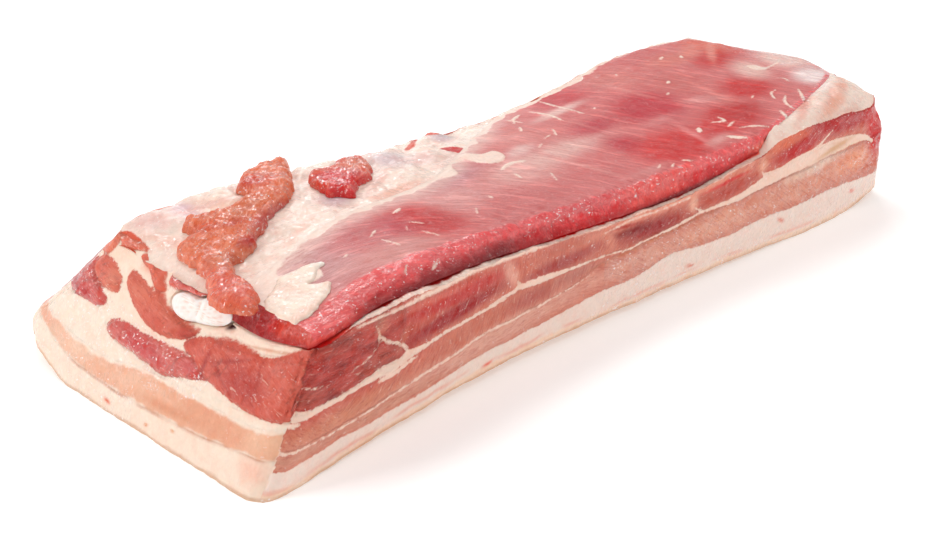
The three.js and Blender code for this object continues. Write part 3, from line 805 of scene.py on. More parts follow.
def relief(p):
    """How far the sides stand out at p, in mm."""
    x, y, z = p.T
    out = 0.6 * fbm(p, 17, 2, 3) + 0.3 * fbm(p, 4, 2, 9) + 0.1 * fbm(p, 1.7, 1, 11)
    on_end = x - near_end(z)
    end = on_end < 3.0
    if end.any():
        yz = np.stack([y[end], z[end]], 1)
        muscle = np.full(len(yz), -6.0)
        for outline, *_ in END_MUSCLES:
            muscle = np.maximum(muscle, inside_by(yz, outline))
        out[end] += 1.5 * smooth((muscle + 0.4) / 3.0) - 0.4 - 0.5 * bell((muscle + 0.2) / 0.6)
        out[end] += 0.5 * smooth((muscle - 1) / 2) * fbm(p[end], 3.4, 2, 12)
        pit = inside_by(yz, CARTILAGE, 3.0)
        out[end] -= 3.0 * smooth((pit + 0.9) / 0.9)
        for hole in ((-34.5, 45.2), (-34.5, 41.4)):
            out[end] -= 2.2 * bell(np.hypot((yz[:, 0] - hole[0]) / 2.0, (yz[:, 1] - hole[1]) / 0.9))
        cavity = inside_by(yz, END_MUSCLES[-1][0])
        out[end] -= 2.6 * smooth((cavity + 0.2) / 1.6)
    front = y - front_edge(x) < 3.0
    if front.any():
        cx, cz = from_side(x[front], y[front], z[front])
        dark = smooth((-104 - cx) / 6) * smooth((cz - 27) / 3) * smooth((50 - cz) / 2)
        ridged = fbm(p[front] * [0.22, 1, 1], 2.1, 2, 13)
        out[front] += dark * (0.9 * ridged - 0.4)
        lumpy = smooth((cx - 5) / 20) * smooth((cz - 17) / 2) * smooth((31 - cz) / 2)
        out[front] += lumpy * 0.5 * fbm(p[front] * [0.6, 1, 1.0], 3.2, 2, 15)
        for bx, bz, rx, rz, high in SIDE_LUMPS:
            out[front] += high * bell(np.hypot((cx - bx) / rx, (cz - bz) / rz))
    return out


# ---------------------------------------------------------------- materials


class Nodes:
    """Short forms for building a shader."""

    def __init__(self, name):
        self.material = bpy.data.materials.new(name)
        self.material.use_nodes = True
        self.tree = self.material.node_tree
        self.tree.nodes.clear()

    def make(self, kind, inputs=(), **settings):
        node = self.tree.nodes.new(kind)
        for key, value in settings.items():
            setattr(node, key, value)
        for key, value in dict(inputs).items():
            self.feed(node.inputs[key], value)
        return node

    def feed(self, socket, value):
        if isinstance(value, bpy.types.NodeSocket):
            self.tree.links.new(value, socket)
        else:
            socket.default_value = value

    def attribute(self, name, output="Fac"):
        return self.make("ShaderNodeAttribute", attribute_name=name).outputs[output]

    def math(self, operation, a, b=0.0, c=0.0, clamp=False):
        node = self.make("ShaderNodeMath", {0: a, 1: b}, operation=operation, use_clamp=clamp)
        if operation in ("MULTIPLY_ADD", "SMOOTH_MIN", "SMOOTH_MAX"):
            self.feed(node.inputs[2], c)
        return node.outputs[0]

    def vector(self, operation, a, b=(0, 0, 0)):
        node = self.make("ShaderNodeVectorMath", {0: a}, operation=operation)
        self.feed(node.inputs["Scale" if operation == "SCALE" else 1], b)
        return node.outputs["Value" if operation in ("LENGTH", "DOT_PRODUCT") else "Vector"]

    def noise(self, where, scale, detail=2.0, rough=0.5, distortion=0.0):
        node = self.make("ShaderNodeTexNoise", {
            "Vector": where, "Scale": scale, "Detail": detail, "Roughness": rough, "Distortion": distortion,
        })
        return node.outputs["Fac"]

    def ramp(self, value, low, high, to_low=0.0, to_high=1.0):
        node = self.make("ShaderNodeMapRange", {
            "Value": value, "From Min": low, "From Max": high, "To Min": to_low, "To Max": to_high,
        }, interpolation_type="SMOOTHSTEP")
        return node.outputs["Result"]

    def mix(self, factor, a, b, blend="MIX"):
        node = self.make("ShaderNodeMix", data_type="RGBA", blend_type=blend)
        self.feed(node.inputs["Factor"], factor)
        self.feed(node.inputs[6], a)
        self.feed(node.inputs[7], b)
        return node.outputs[2]

    def tint(self, colour, amount):
        """A colour made lighter or darker by a factor around 1."""
        scale = self.make("ShaderNodeVectorMath", {0: colour}, operation="SCALE")
        self.feed(scale.inputs["Scale"], amount)
        return scale.outputs["Vector"]


def meat(name, border=0.35, fleck=0.0, pale=0.2, length=0.1, sweep=0.15, pink_and_shade=(1.0, 0.84, 0.80, 1),
         scatter=0.16):
    """Raw meat and fat: lean where the piece's `lean` distance is positive, with the grain along `fibre`."""
    s = Nodes(name)
    place_mm = s.vector("SCALE", s.make("ShaderNodeTexCoord").outputs["Object"], 1000.0)
    fibre = s.attribute("fibre", "Vector")
    lean = s.attribute("lean")
    rough = s.attribute("rough")
    wet = s.attribute("wet")
    lean_col = s.attribute("lean_col", "Color")
    fat_col = s.attribute("fat_col", "Color")

    edge = s.noise(place_mm, 0.55, 3.0, 0.6)
    fine_edge = s.noise(place_mm, 2.2, 2.0, 0.6)
    shift = s.math("ADD", s.math("MULTIPLY_ADD", edge, 2.4, -1.2),
                   s.math("MULTIPLY_ADD", fine_edge, 0.5, -0.25))
    distance = s.math("ADD", lean, s.math("MULTIPLY", shift, 0.75))
    mask = s.ramp(distance, -border, border)

    # the grain: streaks drawn out along the fibres, at two widths
    stretch = s.vector("MULTIPLY", fibre, (length, 1.0, 0.8))
    streak = s.noise(stretch, 1.1, 3.0, 0.65, 0.3)
    stretch_fine = s.vector("MULTIPLY", fibre, (0.16, 1.0, 0.9))
    fine = s.noise(stretch_fine, 3.2, 2.0, 0.6)
    blotch = s.noise(place_mm, 0.13, 3.0, 0.55)

    lean_dark = s.mix(1.0, lean_col, (0.82, 0.60, 0.60, 1), "MULTIPLY")
    lean_light = s.mix(pale, s.tint(lean_col, 1.3), fat_col)
    shade = s.math("ADD", s.math("MULTIPLY", streak, 0.65), s.math("MULTIPLY", fine, 0.35))
    tone = s.mix(s.ramp(shade, 0.36, 0.52), lean_dark, lean_col)
    tone = s.mix(s.ramp(shade, 0.54, 0.72, 0.0, 0.55), tone, lean_light)
    tone = s.mix(s.ramp(blotch, 0.35, 0.65, 0.0, 0.28), tone, lean_dark)
    band = s.noise(s.vector("MULTIPLY", fibre, (0.12, 1.0, 1.0)), 0.34, 3.0, 0.6, 0.5)
    tone = s.mix(s.ramp(band, 0.52, 0.68, 0.0, sweep), tone, lean_light)
    marble = s.noise(s.vector("MULTIPLY", fibre, (0.28, 1.0, 1.0)), 0.75, 3.0, 0.6, 0.8)
    tone = s.mix(s.ramp(marble, 0.63, 0.70, 0.0, fleck), tone, fat_col)

    fat_cells = s.make("ShaderNodeTexVoronoi", {"Vector": place_mm, "Scale": 0.9}, feature="SMOOTH_F1")
    cells = fat_cells.outputs["Distance"]
    # A pink tint laid in patches over the fat; in the cover fat it is stronger and also stands in for painted
    # soft shade.
    fat_tint_and_shade = s.mix(1.0, fat_col, pink_and_shade, "MULTIPLY")
    fat = s.mix(s.ramp(s.noise(place_mm, 0.2, 4.0, 0.6), 0.42, 0.72, 0.0, 0.55), fat_col, fat_tint_and_shade)
    fat = s.tint(fat, s.ramp(cells, 0.1, 0.9, 1.0, 0.955))
    colour = s.mix(mask, fat, tone)

    # small bumps: fibres on the lean, lumps on the fat, and a fine wet grain over both
    lumps = s.noise(place_mm, 0.45, 4.0, 0.6)
    grit = s.noise(place_mm, 2.6, 3.0, 0.6)
    lean_height = s.math("ADD", s.math("MULTIPLY", streak, 0.75), s.math("MULTIPLY", fine, 0.35))
    fat_height = s.math("ADD", s.math("MULTIPLY", lumps, 0.5), s.math("MULTIPLY", cells, 0.06))
    height = s.mix(mask, fat_height, lean_height)
    height = s.math("ADD", height, s.math("MULTIPLY", grit, 0.2))
    height = s.math("MULTIPLY", height, s.math("MULTIPLY_ADD", rough, 1.3, 0.25))
    bump = s.make("ShaderNodeBump", {"Height": height, "Strength": 0.8, "Distance": 0.0009})

    # the film of juice on the wet parts, smoother than what is under it
    ripple = s.math("ADD", s.noise(place_mm, 0.5, 1.0, 0.5), s.math("MULTIPLY", s.noise(place_mm, 1.4, 0.0),
            0.3))
    film = s.make("ShaderNodeBump", {"Height": ripple, "Strength": 1.0, "Distance": 0.0011})
    sheen = s.noise(place_mm, 0.3, 3.0, 0.6)
    gloss = s.math("MULTIPLY", s.ramp(sheen, 0.36, 0.54), wet, clamp=True)
    roughness = s.math("MULTIPLY_ADD", gloss, -0.2, 0.5)
    # Painted glints: small near-white spots mixed into the base colour, in clusters and more of them where
    # the surface is wetter, stand in for highlights.
    glint_noise = s.noise(s.vector("MULTIPLY", place_mm, (1.0, 1.0, 1.5)), 0.85, 2.0, 0.55)
    glint_clusters = s.math("MULTIPLY", s.ramp(s.noise(place_mm, 0.2, 3.0, 0.65), 0.47, 0.6), s.ramp(wet, 0.1, 0.8))
    level = s.math("ADD", glint_noise, s.math("MULTIPLY", wet, 0.04))
    painted_glint = s.math("MULTIPLY", s.ramp(level, 0.66, 0.69), glint_clusters)
    colour = s.mix(s.math("MULTIPLY", painted_glint, 0.8), colour, (0.98, 0.9, 0.88, 1))
    shader = s.make("ShaderNodeBsdfPrincipled", {
        "Base Color": colour, "Roughness": roughness, "Normal": bump.outputs["Normal"], "IOR": 1.38,
        "Specular IOR Level": 0.45, "Coat Weight": gloss, "Coat Roughness": 0.07,
        "Coat Normal": film.outputs["Normal"], "Subsurface Weight": scatter,
        "Subsurface Radius": (1.0, 0.42, 0.28), "Subsurface Scale": 0.003,
    })
    out = s.make("ShaderNodeOutputMaterial")
    s.tree.links.new(shader.outputs[0], out.inputs["Surface"])
    return s.material


SIDE_MEAT = meat("side_meat", border=0.3, fleck=0.35, length=0.16)
TOP_MEAT = meat("top_meat", border=0.5, fleck=0.10, pale=0.07, length=0.05, sweep=0.75)
# The cover fat's stronger pink-tan mottling is partly its own tint and partly painted soft shade, laid as
# random patches.
COVER_MEAT = meat("cover_meat", border=0.6, fleck=0.2, pale=0.1, pink_and_shade=(0.96, 0.70, 0.66, 1))
# The rib muscle's pale streaks and flecks are partly its own pale mottling and partly painted glints.
RIB_MEAT = meat("rib_meat", border=0.5, fleck=0.6, pale=0.4, length=0.22, sweep=0.5)
SOFT_FAT = meat("soft_fat", border=0.5, scatter=0.25)


# ---------------------------------------------------------------- the layers


def from_top_chart(points, height):
    """Where points of the top's chart are on the slab, for things that stand `height` above it."""
    q = np.asarray(points, float)
    z = np.full(len(q), 55.0)
    for _ in range(12):
        rise = TOP_VIEW_SLANT * (z - TOP_LEVEL)
        x, y = q[:, 0] - CHART_SHIFT - rise, q[:, 1] - rise
        z = slab_top(x, y) + height
    return np.stack([x, y], 1)


LYING = {
    "rib_muscle": from_top_chart(closed_curve([
        (-143, -24), (-146, -32), (-144, -39), (-139, -42), (-133, -39), (-129, -29), (-127, -18),
        (-122, -12), (-116, -9), (-110, -7), (-101, 1), (-97, 2), (-92, 7), (-84, 12), (-77, 15), (-66, 24),
        (-60, 33), (-56, 40), (-52, 46), (-54, 48.5), (-60, 47.5), (-70, 47.5), (-78, 41), (-82, 36),
        (-81, 30), (-86, 27), (-95, 25), (-101, 25), (-105, 27), (-112, 28), (-117, 24), (-118, 15),
        (-127, 13), (-132, 5), (-133, -5), (-136, -14)], 4), 2.0),
    "muscle_scrap": from_top_chart(closed_curve([
        (-60, 11), (-59, 20), (-56, 28), (-52, 31), (-45, 29), (-38, 32), (-30, 31), (-29, 25), (-33, 18),
        (-38, 12), (-45, 10), (-50, 6), (-53, 3), (-57, 7)], 4), 2.0),
    "membrane": closed_curve([
        (-157.5, -61.5), (-154.9, -63.2), (-149.3, -62.2), (-144.2, -60.3), (-139.6, -57.7), (-133.8, -54.1),
        (-133.2, -51.7), (-137.9, -47.1), (-133.5, -46.3), (-129.9, -42.4), (-126.4, -41.6), (-126.6, -39.6),
        (-130.7, -37), (-136.8, -37), (-142, -36.3), (-149, -41.5), (-156, -46)], 3),
}


def room(x, y):
    """1 in the hollow that the top muscle lies in, 0 on the open top."""
    slope = (flap_back(x + 0.5) - flap_back(x - 0.5))
    from_back = (flap_back(x) - y) / np.hypot(1, slope)
    from_front = y - flap_front(x)
    back = smooth(from_back / 1.2)
    front = lerp(1.0, smooth(from_front / 1.2), smooth((x - 80) / 12))
    return back * front


def cover_top(x, y):
    far = smooth((x - 110) / 50)
    rim = clamp01(rim_distance(x, y) / lerp(7, 13, far))
    return slab_top(x, y) - lerp(4, 6, far) * (1 - rim) ** 2


def cover_height(x, y):
    return lerp(cover_top(x, y), bed(x, y), room(x, y))


def bare(x, y):
    """1 where nothing lies on the slab, 0 under the pieces lying on it."""
    q = np.stack([x, y], 1)
    covered = np.full(len(q), -8.0)
    for outline in LYING.values():
        covered = np.maximum(covered, inside_by(q, outline))
    return 1 - smooth((covered + 4) / 3.5)


def cover_lift(x, y):
    """Height of the lumps of the cover fat; none along the top muscle's border."""
    flat = stack(x, y, 0 * x)
    lift = 0.9 * fbm(flat, 22, 2, 19) + 1.0 * fbm(flat, 8, 3, 21) + 0.3 * fbm(flat, 2.6, 2, 25)
    rise = TOP_VIEW_SLANT * (slab_top(x, y) - TOP_LEVEL)
    for cx, cy, radius, height in COVER_LUMPS:
        lift += height * bell(np.hypot(x + CHART_SHIFT + rise - cx, y + rise - cy) / radius)
    slope = flap_back(x + 0.5) - flap_back(x - 0.5)
    beyond = np.maximum((y - flap_back(x)) / np.hypot(1, slope), flap_front(x) - y)
    return lift * smooth((beyond - 0.3) / 5) * bare(x, y)


def top_points():
    """Close together where the cover shows, and apart where the top muscle hides it."""
    rx, ry = interior(0.95, 0.9)
    x, y, _ = place_on(cover_height, rx, ry)
    slope = flap_back(x + 0.5) - flap_back(x - 0.5)
    hidden = ((flap_back(x) - y) / np.hypot(1, slope) > 2.0) & ((y - flap_front(x)) > 2.5)
    keep = ~hidden
    sparse_x, sparse_y = interior(6.0, 6.0)
    sx, sy, _ = place_on(cover_height, sparse_x, sparse_y)
    slope = flap_back(sx + 0.5) - flap_back(sx - 0.5)
    inside = ((flap_back(sx) - sy) / np.hypot(1, slope) > 4.0) & ((sy - flap_front(sx)) > 5.0)
    return np.concatenate([x[keep], sx[inside]]), np.concatenate([y[keep], sy[inside]])


def top_chart(p):
    """Where points near the top lie on the flat chart that the patterns of the top are drawn on."""
    rise = TOP_VIEW_SLANT * (p[:, 2] - TOP_LEVEL)
    return np.stack([p[:, 0] + CHART_SHIFT + rise, p[:, 1] + rise], 1)


def build_layers():
    levels = [
        Interface(underside, 4.0), Interface(fat_top), Interface(pale_top), Interface(seam_top),
        Interface(lean_top),
    ]
    names = [
        ("back_fat", "rind_fat", 16), ("pale_lean", "pale_meat", 20), ("seam_fat", "seam_fat", 8),
        ("main_lean", "red_meat", 22),
    ]
    for (name, slot_name, rows), low, high in zip(names, levels[:-1], levels[1:]):
        points, faces, n_wall = layer_points(low, high, rows)
        skin = paint_walls(points, Skin(len(points)))
        if name == "back_fat":
            skin.fat_col[n_wall:] = rgb(226, 196, 180)
        make_piece("slab_" + name, points, faces, skin, SIDE_MEAT, name, slot_name)
    top = Interface(cover_height, points=top_points())
    points, faces, n_wall = layer_points(levels[-1], top, 14)
    upper = np.zeros(len(points), bool)
    upper[n_wall + len(levels[-1].inner):] = True
    upper[n_wall - COLUMNS:n_wall] = True
    points[upper, 2] += cover_lift(points[upper, 0], points[upper, 1])
    skin = paint_walls(points, Skin(len(points)))
    cap = np.zeros(len(points), bool)
    cap[n_wall + len(levels[-1].inner):] = True
    paint_top(points, skin, cap)
    make_piece("slab_fat_cover", points, faces, skin, COVER_MEAT, "fat_cover", "cover_fat")


def top_colour(red, green, blue):
    return seen(red, green, blue, TOP_LIGHT)


# Red bits in the cover fat, and tinted patches of it, on the top's chart.
COVER_SHAPES = [
    (closed_curve([(-31, 33.5), (-22, 36), (-16, 35), (-18, 31), (-27, 31.5)]), top_colour(228, 116, 94)),
    (closed_curve([(-10, 24), (-7, 28), (0, 32), (6, 36), (12, 36), (15, 30), (12, 27), (6, 30.5), (0, 28.5),
                   (-5, 24.5)]), top_colour(226, 112, 94)),
    (closed_curve([(1, 15), (6, 13), (8, 8), (6, 4), (3, 6), (1, 11)]), top_colour(212, 74, 66)),
    (closed_curve([(-150, 30), (-146, 36), (-138, 38), (-133, 37), (-134, 28), (-138, 18), (-143, 20),
                   (-144, 27)]),
     top_colour(232, 116, 96)),
]
COVER_PATCHES = [
    ((-122, 38), (10, 10), 0, (243, 206, 198), 0.9),
    ((-107, 36), (5, 8), 0, (232, 200, 208), 0.9),
    ((-62, 5), (7, 7), 30, (214, 186, 190), 0.9),
    ((-22, 21), (8, 10), 0, (220, 196, 198), 0.9),
    ((-12, 12), (8, 6), 20, (232, 196, 190), 0.8),
    ((10, 24), (5, 6), 0, (206, 178, 182), 0.9),
    ((-40, -6), (14, 5), 0, (240, 180, 160), 0.8),
    ((-95, 30), (10, 8), 0, (252, 214, 192), 0.6),
    ((-4, 0), (12, 10), 0, (240, 206, 196), 0.6),
    ((152, -53), (26, 3), 33, (240, 158, 142), 0.9), ((155, -66), (10, 5), 20, (242, 200, 186), 0.8),
    ((152, -79), (10, 5), 10, (231, 172, 156), 0.7), ((172, -50), (10, 5), 30, (255, 240, 234), 0.9),
    ((180, -45), (16, 14), 0, (254, 230, 214), 0.7), ((163, -62), (20, 3.5), 30, (240, 176, 156), 0.7),
    ((150, -70), (16, 3), 20, (242, 184, 162), 0.7), ((184, -28), (3, 14), -20, (240, 180, 160), 0.6),
    ((178, -55), (14, 2), 38, (240, 184, 166), 0.6), ((192, -44), (2, 12), 10, (244, 190, 172), 0.6),
    ((-100, 34), (16, 3), -10, (238, 190, 178), 0.8), ((-128, 22), (4, 12), 10, (242, 196, 180), 0.8),
    ((-72, 30), (4, 10), 20, (240, 186, 172), 0.8), ((-40, 6), (14, 2), 30, (238, 190, 176), 0.8),
    ((-90, -8), (16, 2), 30, (244, 202, 186), 0.8), ((-112, -30), (10, 3), 60, (246, 206, 190), 0.8),
]


COVER_LUMPS = [
    (-122, 38, 9, 2.6), (-139, 30, 7, 1.6), (-90, 33, 9, 2.0), (-46, 25, 13, 1.5), (-22, 24, 7, 2.6),
    (6, 28, 7, 3.0), (-8, 12, 5, 1.6), (-100, -4, 8, -1.2), (-105, 38, 4, -1.6), (18, 22, 5, -1.6),
    (170, -52, 12, 2.4), (-30, 5, 7, 1.2), (-62, 2, 6, -1.0),
]


LEDGE_RIM = profile([(-170, -3), (-146, -2), (-136, 1.0), (-100, 1.5), (-20, 2.0), (90, 2.0)])


def paint_top(p, skin, cap):
    q = top_chart(p[cap])
    fat = patch_colours(q, top_colour(250, 226, 212), COVER_PATCHES, top_colour)
    lean = np.full(len(q), -6.0)
    col = np.tile(top_colour(226, 110, 92), (len(q), 1))
    for outline, colour in COVER_SHAPES:
        d = inside_by(q, outline)
        take = d > lean
        lean = np.where(take, d, lean)
        col = np.where(take[:, None], colour, col)
    # the ledge in front of the top muscle is raw lean, but for its rim
    cx, cy, cz = p[cap].T
    ledge = cy - front_edge(cx) - LEDGE_RIM(cx) - 0.5 * fbm(p[cap], 6, 2, 91)
    ledge = np.minimum(ledge, (flap_front(cx) + 8 - cy))
    near_flap = 4.6 - (flap_front(cx) - cy) + 0.4 * fbm(p[cap], 4, 2, 93)
    ledge = lerp(ledge, np.minimum(ledge, near_flap), smooth((cx + 108) / 20))
    ledge = ledge - 60 * smooth((cx - 82) / 14)
    chart = np.stack(from_side(cx, cy, cz), 1)
    ledge_col = patch_colours(chart, seen(176, 40, 48), FLAP_FRONT_TINTS_AND_SHADE, seen)
    # Painted shade: towards the near end the ledge is darkened where it runs in under the top muscle's front
    # wall, and it takes the wall's shaded dark reds from the front chart.
    crevice_shade = (1 - smooth((flap_front(cx) - cy) / 2)) * smooth((-45 - cx) / 20)
    ledge_col = np.minimum(1.4 * ledge_col * lerp(1.0, 0.6, crevice_shade)[:, None], 0.95)
    # so is the hollow under its near end
    hollow = np.minimum(8 - (cx - near_end(cz)), np.minimum(cy + 76, -31 - cy))
    ledge_col = np.where((hollow > 0)[:, None], end_colour(228, 46, 38)[None], ledge_col)
    ledge = np.maximum(ledge, hollow)
    take = ledge > lean
    lean = np.where(take, ledge, lean)
    col = np.where(take[:, None], ledge_col, col)
    skin.lean[cap] = lean
    skin.lean_col[cap] = col
    skin.fat_col[cap] = fat
    skin.rough[cap] = 0.3
    skin.wet[cap] = np.where(lean > 0, 0.3, 0.7)
    skin.fibre[cap] = p[cap]


# ---------------------------------------------------------------- the top muscle

FLAP_STEPS_X, FLAP_STEPS_Y, FLAP_ROWS = 440, 128, 14

# the fibres' angle from +X along the muscle, and how far they have run across it there
FLAP_TURN = profile([(-150, 0), (-110, 8), (-60, 40), (-20, 66), (20, 74)])
TURN_X = np.arange(-170, 200, 1.0)
TURN_RUN = np.cumsum(np.tan(np.radians(FLAP_TURN(TURN_X))))
TURN_RUN += 30 - np.interp(-60, TURN_X, TURN_RUN)


def flap_fibre(p):
    """Coordinates along and across the fibres of the top muscle, which turn from +X towards -Y."""
    x, y, z = p.T
    turn = np.radians(FLAP_TURN(x))
    across = (y + np.interp(x, TURN_X, TURN_RUN)) * np.cos(turn)
    along = x * np.cos(turn) - y * np.sin(turn)
    return np.stack([along, across, z], 1)


# Patches of colour on the top muscle: middle, half sizes, turn in degrees, colour and strength, on the top's
# chart.
FLAP_PATCHES = [
    ((-104, -32), (26, 18), 10, (208, 156, 154), 1.23),
    ((-76, -26), (18, 16), 10, (206, 122, 122), 1.04),
    ((-74, -44), (24, 8), 0, (218, 152, 146), 1.04),
    ((-50, -32), (12, 17), 15, (208, 54, 76), 1.3),
    ((-60, -28), (9, 9), 0, (196, 88, 96), 0.78),
    ((-30, -24), (14, 20), 20, (222, 158, 154), 1.17),
    ((-16, -8), (16, 10), 0, (204, 146, 150), 1.04),
    ((-8, -46), (36, 13), 0, (212, 128, 126), 1.17),
    ((8, -24), (20, 12), 0, (226, 166, 160), 1.17),
    ((14, 10), (8, 9), 0, (202, 88, 92), 1.04),
    # The broad pale patch at (32, -20) is painted sheen.
    ((32, -20), (28, 9), 0, (232, 186, 178), 0.95),
    ((30, 2), (20, 14), 0, (220, 140, 136), 1.04),
    ((62, -12), (14, 7), 0, (200, 96, 102), 1.04),
    ((58, -36), (8, 12), 0, (196, 84, 92), 0.91),
    ((70, -50), (20, 15), 10, (212, 56, 76), 1.3),
    ((96, -14), (20, 16), 20, (202, 88, 94), 1.17),
    ((78, 22), (16, 12), 0, (206, 90, 94), 1.04),
    ((112, 20), (14, 14), 30, (218, 136, 130), 1.04),
    ((112, -46), (15, 12), 20, (206, 20, 56), 1.3),
    ((98, -50), (8, 10), 0, (212, 60, 76), 0.9),
    ((128, -4), (14, 16), 0, (212, 126, 122), 1.04),
    ((126, -32), (6, 14), 0, (212, 130, 126), 0.91),
    ((144, -29), (13, 11), 10, (210, 50, 68), 1.3),
    ((166, 6), (16, 9), 20, (208, 84, 76), 1.17),
    ((150, 18), (16, 8), 0, (220, 134, 124), 0.91),
    ((180, 20), (12, 14), 0, (228, 120, 104), 0.9), ((196, 8), (8, 10), 0, (242, 196, 186), 0.9),
    ((192, -16), (16, 13), 30, (246, 212, 202), 1.2),
    ((10, -18), (1.6, 24), 10, (232, 172, 166), 0.78), ((28, -32), (1.6, 24), 8, (228, 160, 154), 0.78),
    ((60, 8), (1.6, 22), 4, (230, 150, 146), 0.78), ((86, -44), (1.8, 18), -18, (228, 140, 138), 0.91),
    ((128, -22), (2, 20), -16, (226, 140, 134), 0.78), ((104, 8), (1.6, 18), 6, (228, 150, 144), 0.65),
    ((172, 12), (2.4, 16), -50, (240, 170, 156), 0.65), ((24, 6), (30, 8), -30, (228, 160, 154), 0.5),
    # The near-white patch at (178, -40) is a painted glint on the muscle's far end.
    ((164, -16), (8, 12), -30, (236, 196, 186), 1.0), ((178, -40), (11, 9), 30, (250, 232, 228), 1.2),
    ((66, 10), (16, 3), 4, (236, 196, 188), 1.0), ((22, -9), (9, 4), 10, (236, 194, 188), 1.0),
    ((87, -58), (8, 3), 10, (226, 166, 160), 0.9), ((118, -24), (10, 4), -30, (222, 154, 150), 0.8),
    ((87, -27), (9, 4), 0, (218, 142, 140), 0.8), ((43, -59), (12, 3), 0, (220, 150, 146), 0.8),
    ((167, 20), (10, 5), 30, (232, 150, 138), 0.8), ((120, -44), (12, 8), 20, (196, 4, 44), 1.04),
    ((-50, -32), (9, 12), 15, (200, 26, 58), 1.04),
]


# Its front wall and rim, on the front side's chart. The darkest patches along the undercut wall (about x -120
# to -40) and the thin dark line at its foot (z 45.4) are painted crevice shade; the other reds are the lean's
# own.
FLAP_FRONT_TINTS_AND_SHADE = [
    ((-84, 54), (44, 5), 0, (150, 14, 34), 1.0), ((-118, 55), (7, 5), 0, (156, 66, 62), 0.9),
    ((-34, 54), (10, 6), 0, (186, 54, 60), 0.9), ((-6, 52), (22, 6), 0, (206, 28, 36), 1.0),
    ((32, 49), (20, 5), 0, (222, 96, 88), 0.9), ((72, 50), (22, 5), 0, (202, 56, 58), 0.9),
    ((40, 45.4), (56, 1.0), 0, (140, 10, 22), 1.0), ((-140, 56), (16, 8), 0, (220, 88, 76), 1.0),
    ((-58, 54), (9, 4), 0, (138, 8, 26), 0.8), ((98, 50), (10, 4), 0, (226, 120, 104), 0.8),
]
FLAP_RIM_PATCHES = [
    ((-10, 58), (26, 8), 0, (206, 40, 46), 1.0), ((-130, 60), (18, 9), 0, (208, 86, 68), 1.0),
    ((-90, 60), (26, 6), 0, (214, 64, 68), 0.9), ((30, 54), (24, 8), 0, (222, 92, 84), 0.9),
]

# Flecks of fat and tendon on it: a line and its half width.
FLECKS = [(open_curve(line), half) for line, half in (
    ([(-75, -29), (-70, -26)], 0.7), ([(-74, -33), (-72, -41)], 0.8), ([(-56, -20), (-51, -18)], 1.3),
    ([(-59, -38), (-57, -45)], 0.8), ([(-57, -29), (-54, -34)], 0.8), ([(-87, -59), (-81, -54)], 0.5),
    ([(-78, -63), (-70, -58)], 0.8), ([(-34, -41), (-31, -37)], 0.5), ([(2, -18), (9, -16), (16, -18)], 1.8),
    ([(2, -29), (3, -24)], 0.9), ([(59, 1), (60, 10), (58, 20)], 1.1), ([(71, 0), (70.5, 14), (71, 29)], 1.0),
    ([(43, 14), (47, 18), (53, 20)], 1.3), ([(46, 12), (44, 20)], 0.9), ([(38, 5), (41, 9)], 1.0),
    ([(45, -8), (49, -2)], 0.7), ([(38, -7), (44, -6)], 0.6), ([(154, 15), (157, 18)], 1.2),
    ([(146, 21), (150, 23)], 1.1), ([(123, -2), (126, 0)], 1.2), ([(112, -11), (115, -9)], 0.8),
    ([(116, 21), (118, 23)], 0.7), ([(185, 16), (188, 18)], 1.1), ([(168, -20), (180, -19), (188, -16)], 0.9),
    ([(88, -48), (92, -44)], 1.8), ([(100, -44), (105, -47), (107, -42)], 1.2),
    ([(101, -52), (108, -50)], 1.0), ([(103, -56), (110, -60), (113, -66)], 1.3),
    ([(92, -58), (97, -66)], 2.4), ([(47, -60), (51, -58)], 0.6), ([(52, -63), (56, -61)], 0.7),
    ([(60, -61), (63, -65)], 0.9), ([(140, -47), (145, -41), (150, -40)], 0.8),
    ([(136, -60), (140, -52), (147, -47)], 1.0), ([(146, -58), (152, -52), (158, -46)], 1.1),
    ([(134, -39), (138, -37)], 0.5), ([(163, -38), (165, -34), (163, -31)], 0.8),
    ([(124, -66), (131, -56)], 1.2), ([(78, 1), (80, 2)], 0.7), ([(30, -12), (34, -10)], 0.7),
    ([(10, -40), (14, -33)], 0.5), ([(-20, -35), (-19.5, -32)], 0.7), ([(-93, -35), (-90, -34)], 0.5),
    ([(-62, -34), (-60, -31)], 0.5),
)]
FLAP_FAT = [closed_curve(points) for points in (
    [(-162, -48), (-157.5, -64), (-150, -62), (-139, -56), (-121, -50), (-113, -47), (-112, -44), (-116, -42),
     (-108, -41), (-104, -35), (-106, -31), (-118, -30), (-112, -22), (-125, -20), (-150, -22)],
    [(166, -12), (170, -13), (171, -18), (172, -21), (167, -20), (165, -17)],
    [(-25, -3), (-14, -10), (-8, 2), (-2, 12), (-24, 12)],
    [(0, -3), (3, -10), (9, -12), (14, -8), (14, -2), (8, -1), (4, 4), (0, 4)],
)]
FLAP_BAND = profile([(-156, 10), (-140, 9), (-125, 7.5), (-100, 5.5), (-85, 4.5), (-60, 3), (0, 2.5),
                     (60, 2.5), (100, 1.5)])
FLAP_FLARE = profile([(-156, 0), (-146, 1.2), (-125, 3.4), (-60, 3.2), (30, 2.8), (62, 1.5), (80, 0)])


def crevice_lift(x, y):
    return 0.5 * (1 - smooth((y - flap_front(x)) / 9)) * (1 - smooth((x - 54) / 30))


def flap_top(x, y):
    return lerp(slab_top(x, y), cover_top(x, y), smooth((x - 105) / 25))


